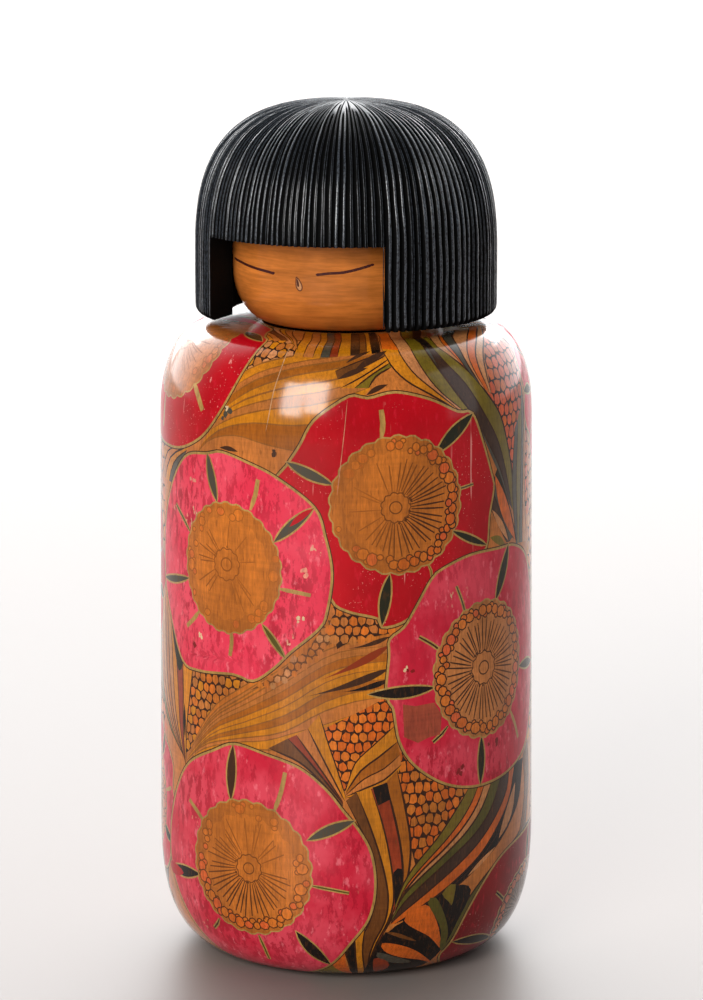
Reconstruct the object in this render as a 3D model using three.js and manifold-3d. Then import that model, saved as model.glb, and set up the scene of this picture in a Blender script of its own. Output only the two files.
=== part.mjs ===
// A large turned-wood kokeshi doll: a solid body, a head core that carries the face,
// a carved hair cap that fits over the core, and the peg that the head turns on.
// Millimetres, +Z up, origin at the centre of the flat foot, face towards -Y.

import * as THREE from 'three';
import { mergeVertices } from 'three/addons/utils/BufferGeometryUtils.js';
import Module from 'manifold-3d';

// ---- driving dimensions -------------------------------------------------------

const GAP = 0.3;                    // clearance between faces that touch

const BODY_HEIGHT = 223.3;
const BODY_RADIUS = 65.7;           // at half height
const BODY_TAPER = 0.03;            // share of the radius lost from foot to top
const SHOULDER_WIDTH = 19.2;        // rounding at the top, across and down
const SHOULDER_DROP = 31;
const SHOULDER_POWER = 2.2;
const FOOT_WIDTH = 26.9;            // rounding at the foot, across and up
const FOOT_RISE = 48;
const FOOT_POWER = 2.8;

const TOTAL_HEIGHT = 300;
const CAP_RADIUS = 52.5;
const CAP_RIM_Z = 226.4;            // lower edge of the hair, just clear of the shoulder
const CAP_RIM_ROUNDING = 3;
const DOME_HEIGHT = 55.4;           // rounded upper part of the hair
const DOME_POWER = 2.85;
const CAVITY_RADIUS = 40.2;
const CAVITY_CEILING_Z = 285;
const CAVITY_ROUNDING = 10;

const WINDOW_HALF_WIDTH = 32.2;     // the opening that shows the face
const FRINGE_Z = 255.7;             // upper edge of that opening

const CORE_RADIUS = 39.8;
const CORE_CHIN_WIDTH = 13.5;       // rounding under the face, across and up
const CORE_CHIN_RISE = 20.4;

const PEG_RADIUS = 8;
const PEG_IN_BODY = 22;
const PEG_IN_CORE = 20;
const PEG_CHAMFER = 1.2;
const PEG_END_PLAY = 1;

const BODY_SEGMENTS = 72;
const HEAD_SEGMENTS = 64;
const PEG_SEGMENTS = 32;

// ---- materials ----------------------------------------------------------------

const finish = (color, roughness) => new THREE.MeshStandardMaterial({ color, roughness, metalness: 0 });

const paintedWood = finish(0xc8502c, 0.28);
const blackLacquer = finish(0x17181b, 0.42);
const faceWood = finish(0xcd7d3c, 0.32);
const bareWood = finish(0xc89a62, 0.7);

// ---- shape helpers ------------------------------------------------------------

// A quarter of a superellipse from (across, 0) to (0, up), with `steps` intervals.
function roundedCorner(across, up, power, steps) {
  const points = [];
  for (let i = 0; i <= steps; i += 1) {
    const angle = (i / steps) * Math.PI / 2;
    points.push([
      across * Math.max(Math.cos(angle), 0) ** (2 / power),
      up * Math.max(Math.sin(angle), 0) ** (2 / power),
    ]);
  }
  points[0][1] = 0;
  points[steps][0] = 0;
  return points;
}

// Turns a profile of [radius, z] points about +Z. It runs anticlockwise, axis to axis.
function turned(profile, segments) {
  const outline = profile.map(([radius, z]) => new THREE.Vector2(radius, z));
  return new THREE.LatheGeometry(outline, segments).rotateX(Math.PI / 2);
}

const named = (name, geometry, material) => {
  const mesh = new THREE.Mesh(geometry, material);
  mesh.name = name;
  return mesh;
};

// ---- booleans -----------------------------------------------------------------

const wasm = await Module();
wasm.setup();

function toSolid(geometry) {
  const plain = geometry.clone();
  plain.deleteAttribute('normal');
  plain.deleteAttribute('uv');
  const merged = mergeVertices(plain, 1e-4);
  return new wasm.Manifold(new wasm.Mesh({
    numProp: 3,
    vertProperties: new Float32Array(merged.attributes.position.array),
    triVerts: new Uint32Array(merged.index.array),
  }));
}

function toGeometry(solid) {
  const mesh = solid.getMesh();
  const geometry = new THREE.BufferGeometry();
  geometry.setAttribute('position', new THREE.BufferAttribute(mesh.vertProperties, 3));
  geometry.setIndex(new THREE.BufferAttribute(mesh.triVerts, 1));
  geometry.computeVertexNormals();
  return geometry;
}

// ---- body: solid cylinder with a slight taper and a blind bore for the peg ------

function bodyGeometry() {
  const tapered = (radius, z) => radius * (1 - BODY_TAPER * (z / BODY_HEIGHT - 0.5));
  const foot = roundedCorner(FOOT_WIDTH, FOOT_RISE, FOOT_POWER, 11)
    .reverse()
    .map(([x, y]) => [BODY_RADIUS - FOOT_WIDTH + x, FOOT_RISE - y]);
  const shoulder = roundedCorner(SHOULDER_WIDTH, SHOULDER_DROP, SHOULDER_POWER, 11)
    .map(([x, y]) => [BODY_RADIUS - SHOULDER_WIDTH + x, BODY_HEIGHT - SHOULDER_DROP + y]);
  const skin = [...foot, ...shoulder].map(([radius, z]) => [tapered(radius, z), z]);
  const bore = PEG_RADIUS + GAP;
  const boreFloor = BODY_HEIGHT - PEG_IN_BODY - PEG_END_PLAY;
  return turned([[0, 0], ...skin, [bore, BODY_HEIGHT], [bore, boreFloor], [0, boreFloor]], BODY_SEGMENTS);
}

// ---- head core: the turned piece whose front is the face --------------------------

function headCoreGeometry() {
  const bottom = BODY_HEIGHT + GAP;
  const top = CAVITY_CEILING_Z - GAP;
  const bore = PEG_RADIUS + GAP;
  const boreCeiling = BODY_HEIGHT + PEG_IN_CORE + GAP;
  const chin = roundedCorner(CORE_CHIN_WIDTH, CORE_CHIN_RISE, 2, 10)
    .reverse()
    .map(([x, y]) => [CORE_RADIUS - CORE_CHIN_WIDTH + x, bottom + CORE_CHIN_RISE - y]);
  const crown = roundedCorner(CAVITY_ROUNDING, CAVITY_ROUNDING, 2, 6)
    .map(([x, y]) => [CORE_RADIUS - CAVITY_ROUNDING + x, top - CAVITY_ROUNDING + y]);
  return turned([[0, boreCeiling], [bore, boreCeiling], [bore, bottom], ...chin, ...crown, [0, top]],
    HEAD_SEGMENTS);
}

// ---- hair cap: hollow dome with a square window cut through its front ---------------

function hairCapGeometry() {
  const cavity = roundedCorner(CAVITY_ROUNDING, CAVITY_ROUNDING, 2, 6)
    .reverse()
    .map(([x, y]) => [CAVITY_RADIUS - CAVITY_ROUNDING + x, CAVITY_CEILING_Z - CAVITY_ROUNDING + y]);
  const rim = roundedCorner(CAP_RIM_ROUNDING, CAP_RIM_ROUNDING, 2, 4)
    .reverse()
    .map(([x, y]) => [CAP_RADIUS - CAP_RIM_ROUNDING + x, CAP_RIM_Z + CAP_RIM_ROUNDING - y]);
  const dome = roundedCorner(CAP_RADIUS, DOME_HEIGHT, DOME_POWER, 18)
    .map(([x, y]) => [x, TOTAL_HEIGHT - DOME_HEIGHT + y]);
  const shell = turned([[0, CAVITY_CEILING_Z], ...cavity, [CAVITY_RADIUS, CAP_RIM_Z], ...rim, ...dome],
    HEAD_SEGMENTS);

  const windowDepth = 2 * CAP_RADIUS;
  const windowHeight = 2 * (FRINGE_Z - CAP_RIM_Z);
  const window = new THREE.BoxGeometry(2 * WINDOW_HALF_WIDTH, windowDepth, windowHeight)
    .translate(0, -windowDepth / 2 - 1, FRINGE_Z - windowHeight / 2);
  return toGeometry(toSolid(shell).subtract(toSolid(window)));
}

// ---- neck peg: chamfered dowel, glued into the core and free to turn in the body ----

function neckPegGeometry() {
  const bottom = BODY_HEIGHT - PEG_IN_BODY;
  const top = BODY_HEIGHT + PEG_IN_CORE;
  const tip = PEG_RADIUS - PEG_CHAMFER;
  return turned([
    [0, bottom], [tip, bottom], [PEG_RADIUS, bottom + PEG_CHAMFER],
    [PEG_RADIUS, top - PEG_CHAMFER], [tip, top], [0, top],
  ], PEG_SEGMENTS);
}

// ---- assembly -----------------------------------------------------------------

const head = new THREE.Group();
head.add(
  named('head_core', headCoreGeometry(), faceWood),
  named('hair_cap', hairCapGeometry(), blackLacquer),
  named('neck_peg', neckPegGeometry(), bareWood),
);

const doll = new THREE.Group();
doll.add(named('body', bodyGeometry(), paintedWood), head);

export default doll;
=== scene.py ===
import math
import random

import bmesh
import bpy
import numpy as np
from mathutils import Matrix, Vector
from mathutils.geometry import delaunay_2d_cdt


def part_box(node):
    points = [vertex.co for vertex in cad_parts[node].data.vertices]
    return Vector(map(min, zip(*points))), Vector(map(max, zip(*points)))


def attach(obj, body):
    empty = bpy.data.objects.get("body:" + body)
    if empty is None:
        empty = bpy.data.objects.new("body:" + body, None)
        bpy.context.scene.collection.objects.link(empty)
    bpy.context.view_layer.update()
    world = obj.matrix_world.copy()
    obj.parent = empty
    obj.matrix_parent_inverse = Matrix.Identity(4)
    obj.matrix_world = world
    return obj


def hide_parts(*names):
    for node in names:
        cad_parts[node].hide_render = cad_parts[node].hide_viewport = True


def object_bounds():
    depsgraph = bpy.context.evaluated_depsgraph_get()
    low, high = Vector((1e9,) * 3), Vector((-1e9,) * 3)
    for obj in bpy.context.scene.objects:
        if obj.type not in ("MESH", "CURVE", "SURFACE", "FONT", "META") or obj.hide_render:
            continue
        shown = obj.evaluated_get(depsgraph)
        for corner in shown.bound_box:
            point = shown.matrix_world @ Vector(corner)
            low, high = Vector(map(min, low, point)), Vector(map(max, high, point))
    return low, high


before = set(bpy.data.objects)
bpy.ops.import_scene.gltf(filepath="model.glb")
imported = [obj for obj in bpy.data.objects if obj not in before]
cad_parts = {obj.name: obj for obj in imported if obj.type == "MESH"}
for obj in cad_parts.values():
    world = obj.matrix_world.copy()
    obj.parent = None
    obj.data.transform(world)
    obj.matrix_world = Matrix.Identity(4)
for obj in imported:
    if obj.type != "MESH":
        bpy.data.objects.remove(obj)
cad_lo, cad_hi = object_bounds()

MM = 0.001
TURN = 2 * math.pi

# ---- sizes, in millimetres, from the frame ----

BODY_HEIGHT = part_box("body")[1].z / MM
BODY_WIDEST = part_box("body")[1].x / MM
TOTAL_HEIGHT = cad_hi.z / MM
CAP_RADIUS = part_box("hair_cap")[1].x / MM
CAP_RIM_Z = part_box("hair_cap")[0].z / MM
CORE_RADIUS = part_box("head_core")[1].x / MM
CORE_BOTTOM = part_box("head_core")[0].z / MM
CORE_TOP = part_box("head_core")[1].z / MM
PEG_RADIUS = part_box("neck_peg")[1].x / MM
PEG_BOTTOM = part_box("neck_peg")[0].z / MM
PEG_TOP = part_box("neck_peg")[1].z / MM

BODY_TAPER = 0.03                   # share of the radius lost from foot to top
SHOULDER = (19.2, 31, 2.2)          # across, down, power of the superellipse
FOOT = (26.9, 48, 2.8)
SKIN_INSET = 0.04                   # keeps the finely cut skin inside the faceted one
BODY_MID_RADIUS = BODY_WIDEST / (1 + BODY_TAPER * (0.5 - FOOT[1] / BODY_HEIGHT)) - SKIN_INSET
BORE_PLAY = 0.3                     # round the peg and past its upper end
BORE_RADIUS = PEG_RADIUS + BORE_PLAY
BORE_FLOOR = PEG_BOTTOM - 1
CHIN = (13.5, 20.4, 2)
CROWN_ROUNDING = 10

NORMAL_REACH = 0.4                  # a surface's slope is taken over this much each way

DOME_HEIGHT = 55.4
DOME_POWER = 2.85
RIM_ROUNDING = 3
CAVITY_RADIUS = 40.2
WINDOW_HALF_WIDTH = 32.2
FRINGE_Z = 255.7

CAMERA_AZIMUTH = 24.5               # degrees round from the face, towards the doll's left
PAINT_TURN = math.radians(CAMERA_AZIMUTH)   # where the painting's middle line runs


# ---- turned surfaces ----

def corner(across, up, power, steps=60):
    """A quarter of a superellipse, from (across, 0) to (0, up)."""
    angle = np.linspace(0, math.pi / 2, steps + 1)
    return np.c_[across * np.cos(angle).clip(0) ** (2 / power), up * np.sin(angle).clip(0) ** (2 / power)]


def lower_corner(radius, bottom, across, up, power=2, steps=60):
    """The rounded corner at the foot of a turned wall, from the inside out."""
    x, y = corner(across, up, power, steps)[::-1].T
    return np.c_[radius - across + x, bottom + up - y]


def upper_corner(radius, top, across, up, power=2, steps=60):
    """The rounded corner at the top of a turned wall, from the outside in."""
    x, y = corner(across, up, power, steps).T
    return np.c_[radius - across + x, top - up + y]


class Skin:
    """A turned surface, unrolled: u runs round it in mm at its girth radius, s along its profile."""

    def __init__(self, outline, girth_radius, zero_at):
        self.r, self.z = np.array(outline, float).T
        length = np.hypot(np.diff(self.r), np.diff(self.z))
        self.s = np.r_[0, np.cumsum(length)]
        self.s -= self.s[zero_at]
        self.girth_radius = girth_radius
        self.girth = TURN * girth_radius

    def place(self, u, s, turn):
        """Points and outward normals for arrays of u and s."""
        r = np.interp(s, self.s, self.r)
        z = np.interp(s, self.s, self.z)
        lo, hi = np.maximum(s - NORMAL_REACH, self.s[0]), np.minimum(s + NORMAL_REACH, self.s[-1])
        dr = np.interp(hi, self.s, self.r) - np.interp(lo, self.s, self.r)
        dz = np.interp(hi, self.s, self.z) - np.interp(lo, self.s, self.z)
        size = np.hypot(dr, dz) + 1e-9
        angle = u / self.girth_radius + turn
        out = np.c_[np.sin(angle), -np.cos(angle)]
        points = np.c_[out * r[:, None], z] * MM
        normals = np.c_[out * (dz / size)[:, None], -dr / size]
        return points, normals


def body_skin():
    """The body from the edge of its flat foot, over the shoulder and down the bore."""
    foot = lower_corner(BODY_MID_RADIUS, 0, *FOOT)
    shoulder = upper_corner(BODY_MID_RADIUS, BODY_HEIGHT, *SHOULDER)
    side = np.vstack([foot, shoulder])
    side[:, 0] *= 1 - BODY_TAPER * (side[:, 1] / BODY_HEIGHT - 0.5)
    return Skin([*side, (BORE_RADIUS, BODY_HEIGHT), (BORE_RADIUS, BORE_FLOOR)], BODY_MID_RADIUS, 0)


def core_skin():
    """The head core from its bore, round the chin and up to the middle of its flat top."""
    chin = lower_corner(CORE_RADIUS, CORE_BOTTOM, *CHIN)
    crown = upper_corner(CORE_RADIUS, CORE_TOP, CROWN_ROUNDING, CROWN_ROUNDING)
    bore = [(BORE_RADIUS, PEG_TOP + BORE_PLAY), (BORE_RADIUS, CORE_BOTTOM)]
    return Skin([*bore, *chin, *crown, (2, CORE_TOP)], CORE_RADIUS, len(bore))


# ---- curves in the unrolled plane ----

def smooth(points, step=1.5, closed=False):
    """A Catmull-Rom curve through the points, with a point about every `step` mm."""
    p = np.array(points, float)
    if closed:
        p = np.vstack([p[-1], p, p[0], p[1]])
    else:
        p = np.vstack([2 * p[0] - p[1], p, 2 * p[-1] - p[-2]])
    out = []
    for a, b, c, d in zip(p, p[1:], p[2:], p[3:]):
        count = max(1, round(float(np.hypot(*(c - b))) / step))
        for t in np.arange(count) / count:
            out.append(0.5 * (2 * b + (c - a) * t + (2 * a - 5 * b + 4 * c - d) * t**2
                              + (3 * b - a - 3 * c + d) * t**3))
    if not closed:
        out.append(p[-2])
    return np.array(out)


def resample(curve, count):
    """The same curve as `count` evenly spaced points."""
    run = np.r_[0, np.cumsum(np.hypot(*np.diff(curve, axis=0).T))]
    at = np.linspace(0, run[-1], count)
    return np.c_[np.interp(at, run, curve[:, 0]), np.interp(at, run, curve[:, 1])]


def signed_area(outline):
    """A closed outline's area, positive where it runs anticlockwise."""
    x, y = np.array(outline).T
    return 0.5 * float(np.sum(x * np.roll(y, -1) - np.roll(x, -1) * y))


def grow(outline, distance):
    """The closed outline moved outwards by a small distance."""
    p = np.array(outline)
    along = np.roll(p, -1, axis=0) - np.roll(p, 1, axis=0)
    along /= np.hypot(*along.T)[:, None] + 1e-9
    side = 1 if signed_area(p) > 0 else -1
    return p + side * distance * np.c_[along[:, 1], -along[:, 0]]


def ring(centre, radii, lobes=0, depth=0.0, count=40, phase=0.0):
    """A closed oval with an optional scalloped edge."""
    a = np.linspace(0, TURN, count, endpoint=False)
    swell = 1 + depth * np.abs(np.sin(lobes * a / 2 + phase)) if lobes else np.ones(count)
    return np.c_[centre[0] + radii[0] * swell * np.cos(a), centre[1] + radii[1] * swell * np.sin(a)]


def ribbon(path, width, ends=(0.2, 0.2)):
    """A stroke along an open path, thinned at its ends to the given shares of its width."""
    p = np.array(path, float)
    along = np.gradient(p, axis=0)
    along /= np.hypot(*along.T)[:, None] + 1e-9
    t = np.linspace(0, 1, len(p))
    half = width / 2 * np.minimum(np.minimum(1, ends[0] + t * 5), ends[1] + (1 - t) * 5)
    side = np.c_[-along[:, 1], along[:, 0]] * half[:, None]
    return np.vstack([p + side, (p - side)[::-1]])


def lens(tail, tip, width, bend=0.0, belly=0.5):
    """A pointed leaf from tail to tip."""
    tail, tip = np.array(tail, float), np.array(tip, float)
    along = tip - tail
    across = np.array([-along[1], along[0]]) / np.hypot(*along)
    t = np.linspace(0, 1, 9)
    swell = np.sin(math.pi * t ** (math.log(0.5) / math.log(belly))) ** 0.9
    middle = tail + along * t[:, None] + across * (bend * np.sin(math.pi * t))[:, None]
    half = across * (width / 2 * swell)[:, None]
    return np.vstack([middle + half, (middle - half)[-2:0:-1]])


# ---- paint ----

def rgb(red, green, blue):
    """A colour given as it looks on screen, 0 to 255, in linear light."""
    return tuple(c / 12.92 if c <= 0.04045 else ((c + 0.055) / 1.055) ** 2.4
                 for c in (red / 255, green / 255, blue / 255))


def blend(a, b, share):
    return tuple(x + (y - x) * share for x, y in zip(a, b))


def varied(colour, rng, amount=0.12):
    """The colour a little lighter or darker, and a little off its hue."""
    shade = 1 + rng.uniform(-amount, amount)
    return tuple(min(1, c * shade * (1 + rng.uniform(-amount, amount) / 3)) for c in colour)


STAIN, PINK, CRIMSON, LINE = range(4)

LINE_BROWN = rgb(52, 28, 14)
BLACK = rgb(24, 16, 12)
RIM_GOLD = rgb(166, 128, 66)
TAN = rgb(180, 104, 42)
DISC = rgb(184, 102, 30)
OCHRE = rgb(192, 116, 16)
DEEP_OCHRE = rgb(158, 86, 14)
BEIGE = rgb(190, 124, 72)
ORANGE = rgb(198, 90, 18)
CELL = rgb(204, 106, 26)
RED_CELL = rgb(212, 84, 38)
OLIVE = rgb(112, 92, 18)
DARK_OLIVE = rgb(80, 72, 18)
BROWN = rgb(104, 58, 18)
DARK_BROWN = rgb(62, 36, 20)
RED_BROWN = rgb(136, 48, 18)
SEPAL = rgb(34, 34, 20)
SLATE = rgb(72, 66, 54)
CREAM = rgb(212, 180, 138)
FAINT_BROWN = rgb(140, 84, 28)
PINK_PAINT = rgb(222, 48, 74)
DEEP_PINK = rgb(198, 26, 52)
DUSTY_ROSE = rgb(146, 62, 40)
CRIMSON_PAINT = rgb(176, 4, 20)
DARK_CRIMSON = rgb(128, 8, 14)
FACE_WOOD = rgb(193, 112, 47)
EYE_LINE = rgb(66, 28, 26)

LARGE_AREA = 60                     # square mm, from which an outline may hide others
CDT_SLACK = 1e-3                    # mm, within which drawn points become one
WELD = 5e-6                         # metres, for the seam where the skin meets itself


class Painting:
    """Flat areas laid over each other on an unrolled skin, each later one on top."""

    def __init__(self, girth, bottom, top):
        self.girth, self.bottom, self.top = girth, bottom, top
        self.outlines, self.paints, self.colours = [], [], []
        self.cover(bottom, top, TAN)

    def add(self, outline, paint, colour):
        outline = np.array(outline, float)
        if signed_area(outline) < 0:
            outline = outline[::-1]
        low, high = outline[:, 0].min(), outline[:, 0].max()
        half = self.girth / 2
        for shift in (-self.girth, 0, self.girth):
            if low + shift < half and high + shift > -half:
                self.outlines.append(outline + (shift, 0))
                self.paints.append(paint)
                self.colours.append(colour)

    def cover(self, bottom, top, colour):
        """A plain stained band all the way round."""
        half = self.girth / 2
        self.add([(-half, bottom), (half, bottom), (half, top), (-half, top)], STAIN, colour)

    def stroke(self, path, width=0.7, colour=LINE_BROWN, paint=LINE, ends=(0.2, 0.2)):
        self.add(ribbon(path, width, ends), paint, colour)

    def drop_hidden(self):
        """Forgets every outline that lies wholly under one later, large outline."""
        lows = np.array([outline.min(axis=0) for outline in self.outlines])
        highs = np.array([outline.max(axis=0) for outline in self.outlines])
        kept = np.ones(len(self.outlines), bool)
        for k, outline in enumerate(self.outlines):
            within = (lows[:k] > lows[k]).all(axis=1) & (highs[:k] < highs[k]).all(axis=1)
            under = np.flatnonzero(kept[:k] & within)
            if len(under) and signed_area(outline) > LARGE_AREA:
                owners = np.repeat(under, [len(self.outlines[j]) for j in under])
                points = np.vstack([self.outlines[j] for j in under])
                kept[under] = False
                kept[owners[~covered(points, outline)]] = True
        lists = self.outlines, self.paints, self.colours
        self.outlines, self.paints, self.colours = (
            [item for item, keep in zip(items, kept) if keep] for items in lists)

    def triangles(self, pitch):
        """Cuts the whole domain into triangles along every edge, on top of an even grid of points."""
        self.drop_hidden()
        columns = round(self.girth / pitch)
        rows = round((self.top - self.bottom) / pitch)
        us = (np.arange(columns + 1) / columns - 0.5) * self.girth
        ss = self.bottom + np.arange(rows + 1) / rows * (self.top - self.bottom)
        grid = np.stack(np.meshgrid(us, ss), -1).reshape(-1, 2)
        points = [Vector(p) for p in grid]
        faces = []
        for outline in self.outlines:
            faces.append(list(range(len(points), len(points) + len(outline))))
            points += [Vector(p) for p in outline]
        verts, _, tris, *_ = delaunay_2d_cdt(points, [], faces, 0, CDT_SLACK)
        verts = np.array([v[:] for v in verts])
        tris = np.array(tris)
        middles = verts[tris].mean(axis=1)
        order = np.argsort(middles[:, 1])
        tris, middles = tris[order], middles[order]
        tops = np.full(len(tris), -1)
        for k, outline in enumerate(self.outlines):
            first, end = np.searchsorted(middles[:, 1], (outline[:, 1].min(), outline[:, 1].max()))
            near = np.arange(first, end)
            x = middles[near, 0]
            near = near[(x > outline[:, 0].min()) & (x < outline[:, 0].max())]
            tops[near[covered(middles[near], outline)]] = k
        in_domain = (tops >= 0) & (np.abs(middles[:, 0]) < self.girth / 2)
        in_domain &= (middles[:, 1] > self.bottom) & (middles[:, 1] < self.top)
        return verts, tris[in_domain], tops[in_domain]


def covered(points, outline):
    """Which of the points lie inside a closed outline."""
    x, y = points.T
    hit = np.zeros(len(points), bool)
    for (ax, ay), (bx, by) in zip(outline, np.roll(outline, -1, axis=0)):
        if ay != by:
            hit ^= ((ay > y) != (by > y)) & (x < ax + (y - ay) / (by - ay) * (bx - ax))
    return hit


def painted_mesh(name, painting, skin, pitch, turn, materials):
    """The painting's triangles wrapped round its skin, with a fan closing each end."""
    verts, tris, tops = painting.triangles(pitch)
    points, normals = skin.place(verts[:, 0], verts[:, 1], turn)
    colours = [painting.colours[top] for top in tops]
    paints = [painting.paints[top] for top in tops]

    bm = bmesh.new()
    tint = bm.faces.layers.float_color.new("tint")
    normal_layer = bm.verts.layers.float_vector.new("out")
    made = [bm.verts.new(p) for p in points]
    for vert, normal in zip(made, normals):
        vert[normal_layer] = Vector(normal)
    for tri, colour, paint in zip(tris, colours, paints):
        if len({made[i] for i in tri}) < 3:
            continue
        face = bm.faces.new([made[i] for i in tri])
        face[tint] = (*colour, 1)
        face.material_index = min(paint, len(materials) - 1)
        face.smooth = True
    bmesh.ops.remove_doubles(bm, verts=bm.verts, dist=WELD)
    bmesh.ops.delete(bm, geom=[v for v in bm.verts if not v.link_faces], context="VERTS")
    for edge_set in end_loops(bm):
        close_end(bm, edge_set, tint, normal_layer)
    bmesh.ops.recalc_face_normals(bm, faces=bm.faces)

    mesh = bpy.data.meshes.new(name)
    bm.to_mesh(mesh)
    bm.free()
    out = np.zeros(len(mesh.vertices) * 3)
    mesh.attributes["out"].data.foreach_get("vector", out)
    mesh.normals_split_custom_set_from_vertices(out.reshape(-1, 3).tolist())
    for material in materials:
        mesh.materials.append(material)
    piece = bpy.data.objects.new(name, mesh)
    bpy.context.collection.objects.link(piece)
    return piece


def end_loops(bm):
    """The open edges, split into the lower and the upper end."""
    edges = [e for e in bm.edges if e.is_boundary]
    middle = sum(e.verts[0].co.z for e in edges) / max(1, len(edges))
    below = [e for e in edges if e.verts[0].co.z < middle]
    above = [e for e in edges if e.verts[0].co.z >= middle]
    return [s for s in (below, above) if s]


def close_end(bm, edges, tint, normal_layer):
    """A fan of faces from the axis to the open edges of one end."""
    rim = edges[0].verts[0]
    centre = bm.verts.new((0, 0, rim.co.z))
    centre[normal_layer] = Vector((0, 0, rim[normal_layer].z))
    for edge in edges:
        face = bm.faces.new([edge.verts[0], edge.verts[1], centre])
        face[tint] = (*TAN, 1)
        face.material_index = STAIN


# ---- motifs ----

def clear_towards(angle, side, low, high):
    """How clearly the burned lines still show in one direction, from 0 to 1."""
    return low + (high - low) * (0.5 + 0.5 * math.cos(angle - side))


def flower(art, outline, petal, disc, disc_radii, heart, seed, sepals=(), stalks=(),
           disc_colour=DISC, lines=(0.0, 0.3, 0.9), rosette=5.0, lobes=26):
    """One round bloom: petals in flat paint, a scalloped disc of seeds, filaments and a rosette.

    lines is the direction in radians in which the burned lines show best, and how clearly they
    show on the far side and on that side."""
    rng = random.Random(seed)
    petals = smooth(outline, 2.4, closed=True)
    art.add(grow(petals, 0.75), LINE, LINE_BROWN)
    art.add(grow(petals, 0.4), STAIN, RIM_GOLD)
    paint = PINK if petal in (PINK_PAINT, DEEP_PINK) else CRIMSON
    art.add(grow(petals, -0.45), paint, petal)
    for tail, tip, width, tone, bend in sepals:
        art.add(grow(lens(tail, tip, width, bend), 0.6), STAIN, RIM_GOLD)
        art.add(lens(tail, tip, width, bend), LINE, tone)
    for start, end, width, core in stalks:
        path = smooth([start, ((start[0] + end[0]) / 2 + 0.5, (start[1] + end[1]) / 2), end], 3)
        art.stroke(path, width, RIM_GOLD, STAIN, (0.5, 0.9))
        if core:
            art.stroke(path, width * 0.4, core, LINE, (0.4, 0.8))
    seed_disc(art, disc, disc_radii, heart, rng, disc_colour, lines, rosette, lobes)


def seed_disc(art, disc, radii, heart, rng, colour, lines, rosette, lobes):
    """A scalloped disc with a gold rim, and what is drawn on it."""
    edge = ring(disc, radii, lobes, 0.05, lobes * 4, rng.uniform(0, 3))
    art.add(grow(edge, 0.55), STAIN, RIM_GOLD)
    art.add(edge, STAIN, blend(colour, BROWN, 0.22))
    art.add(ring(disc, (radii[0] * 0.8, radii[1] * 0.8), 17, 0.06, 68), STAIN, colour)
    seeds(art, disc, radii, rng, colour, lines)
    filaments(art, disc, radii, heart, rng, colour, lines, rosette)
    rosette_ring(art, heart, rosette, rng, colour, (lines[1] + lines[2]) / 2)


def seeds(art, disc, radii, rng, colour, lines):
    """Two loose rows of round seeds round the disc's edge."""
    angle = rng.uniform(0, 1)
    last = angle + TURN
    row = 0
    while angle < last - 0.05:
        size = rng.uniform(1.25, 2.15) if row % 2 == 0 else rng.uniform(0.8, 1.35)
        reach = 0.905 if row % 2 == 0 else rng.choice((0.83, 0.97))
        centre = (disc[0] + radii[0] * reach * math.cos(angle), disc[1] + radii[1] * reach * math.sin(angle))
        clear = clear_towards(angle, *lines)
        if rng.random() < 0.25 + clear:
            tone = blend(colour, LINE_BROWN, 0.25 + 0.75 * clear)
            fill = blend(colour, rng.choice((CELL, CELL, ORANGE, RED_CELL)), 0.25 + 0.6 * clear)
            squash = rng.uniform(0.9, 1.12)
            oval = ring(centre, (size * squash, size / squash), 0, 0, 8, rng.uniform(0, 1))
            art.add(grow(oval, 0.28 + 0.12 * clear), LINE, tone)
            art.add(grow(oval, -0.12), STAIN, fill)
        angle += (size + 0.55) / radii[0]
        row += 1


FILAMENTS = 46


def filaments(art, disc, radii, heart, rng, colour, lines, rosette):
    """Straight burned lines from the rosette towards the seeds, some of them with a dot at the root."""
    for k in range(FILAMENTS):
        angle = TURN * (k + rng.uniform(-0.25, 0.25)) / FILAMENTS
        clear = clear_towards(angle, *lines)
        if rng.random() > 0.35 + clear:
            continue
        way = np.array([math.cos(angle), math.sin(angle)])
        root = np.array(heart) + way * rosette * rng.uniform(1.05, 1.3)
        reach = rng.uniform(0.74, 0.82)
        tip = np.array(disc) + way * np.array(radii) * reach
        tip = root + (tip - root) * rng.uniform(0.55 + 0.4 * clear, 1.0)
        tone = blend(colour, LINE_BROWN, 0.3 + 0.65 * clear)
        art.add(ribbon([root, (root + tip) / 2, tip], 0.5 + 0.15 * clear, (0.45, 0.7)), LINE, tone)
        if rng.random() < 0.4 * clear:
            art.add(ring(root, (0.5, 0.5), 0, 0, 7), LINE, tone)


def rosette_ring(art, heart, size, rng, colour, clear):
    """A small lobed outline with a ring inside it, at the disc's heart."""
    tone = blend(colour, LINE_BROWN, 0.45 + 0.5 * clear)
    lobed = ring(heart, (size, size), 11, 0.16, 44, rng.uniform(0, 3))
    art.add(grow(lobed, 0.22), LINE, tone)
    art.add(grow(lobed, -0.22), STAIN, colour)
    art.add(ring(heart, (size * 0.52, size * 0.5), 0, 0, 20), LINE, tone)
    art.add(ring(heart, (size * 0.42, size * 0.4), 0, 0, 18), STAIN, colour)


CELL_SIDES = 7
CELL_GAP = 0.2                      # half the width of the dark line between two cells


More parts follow.
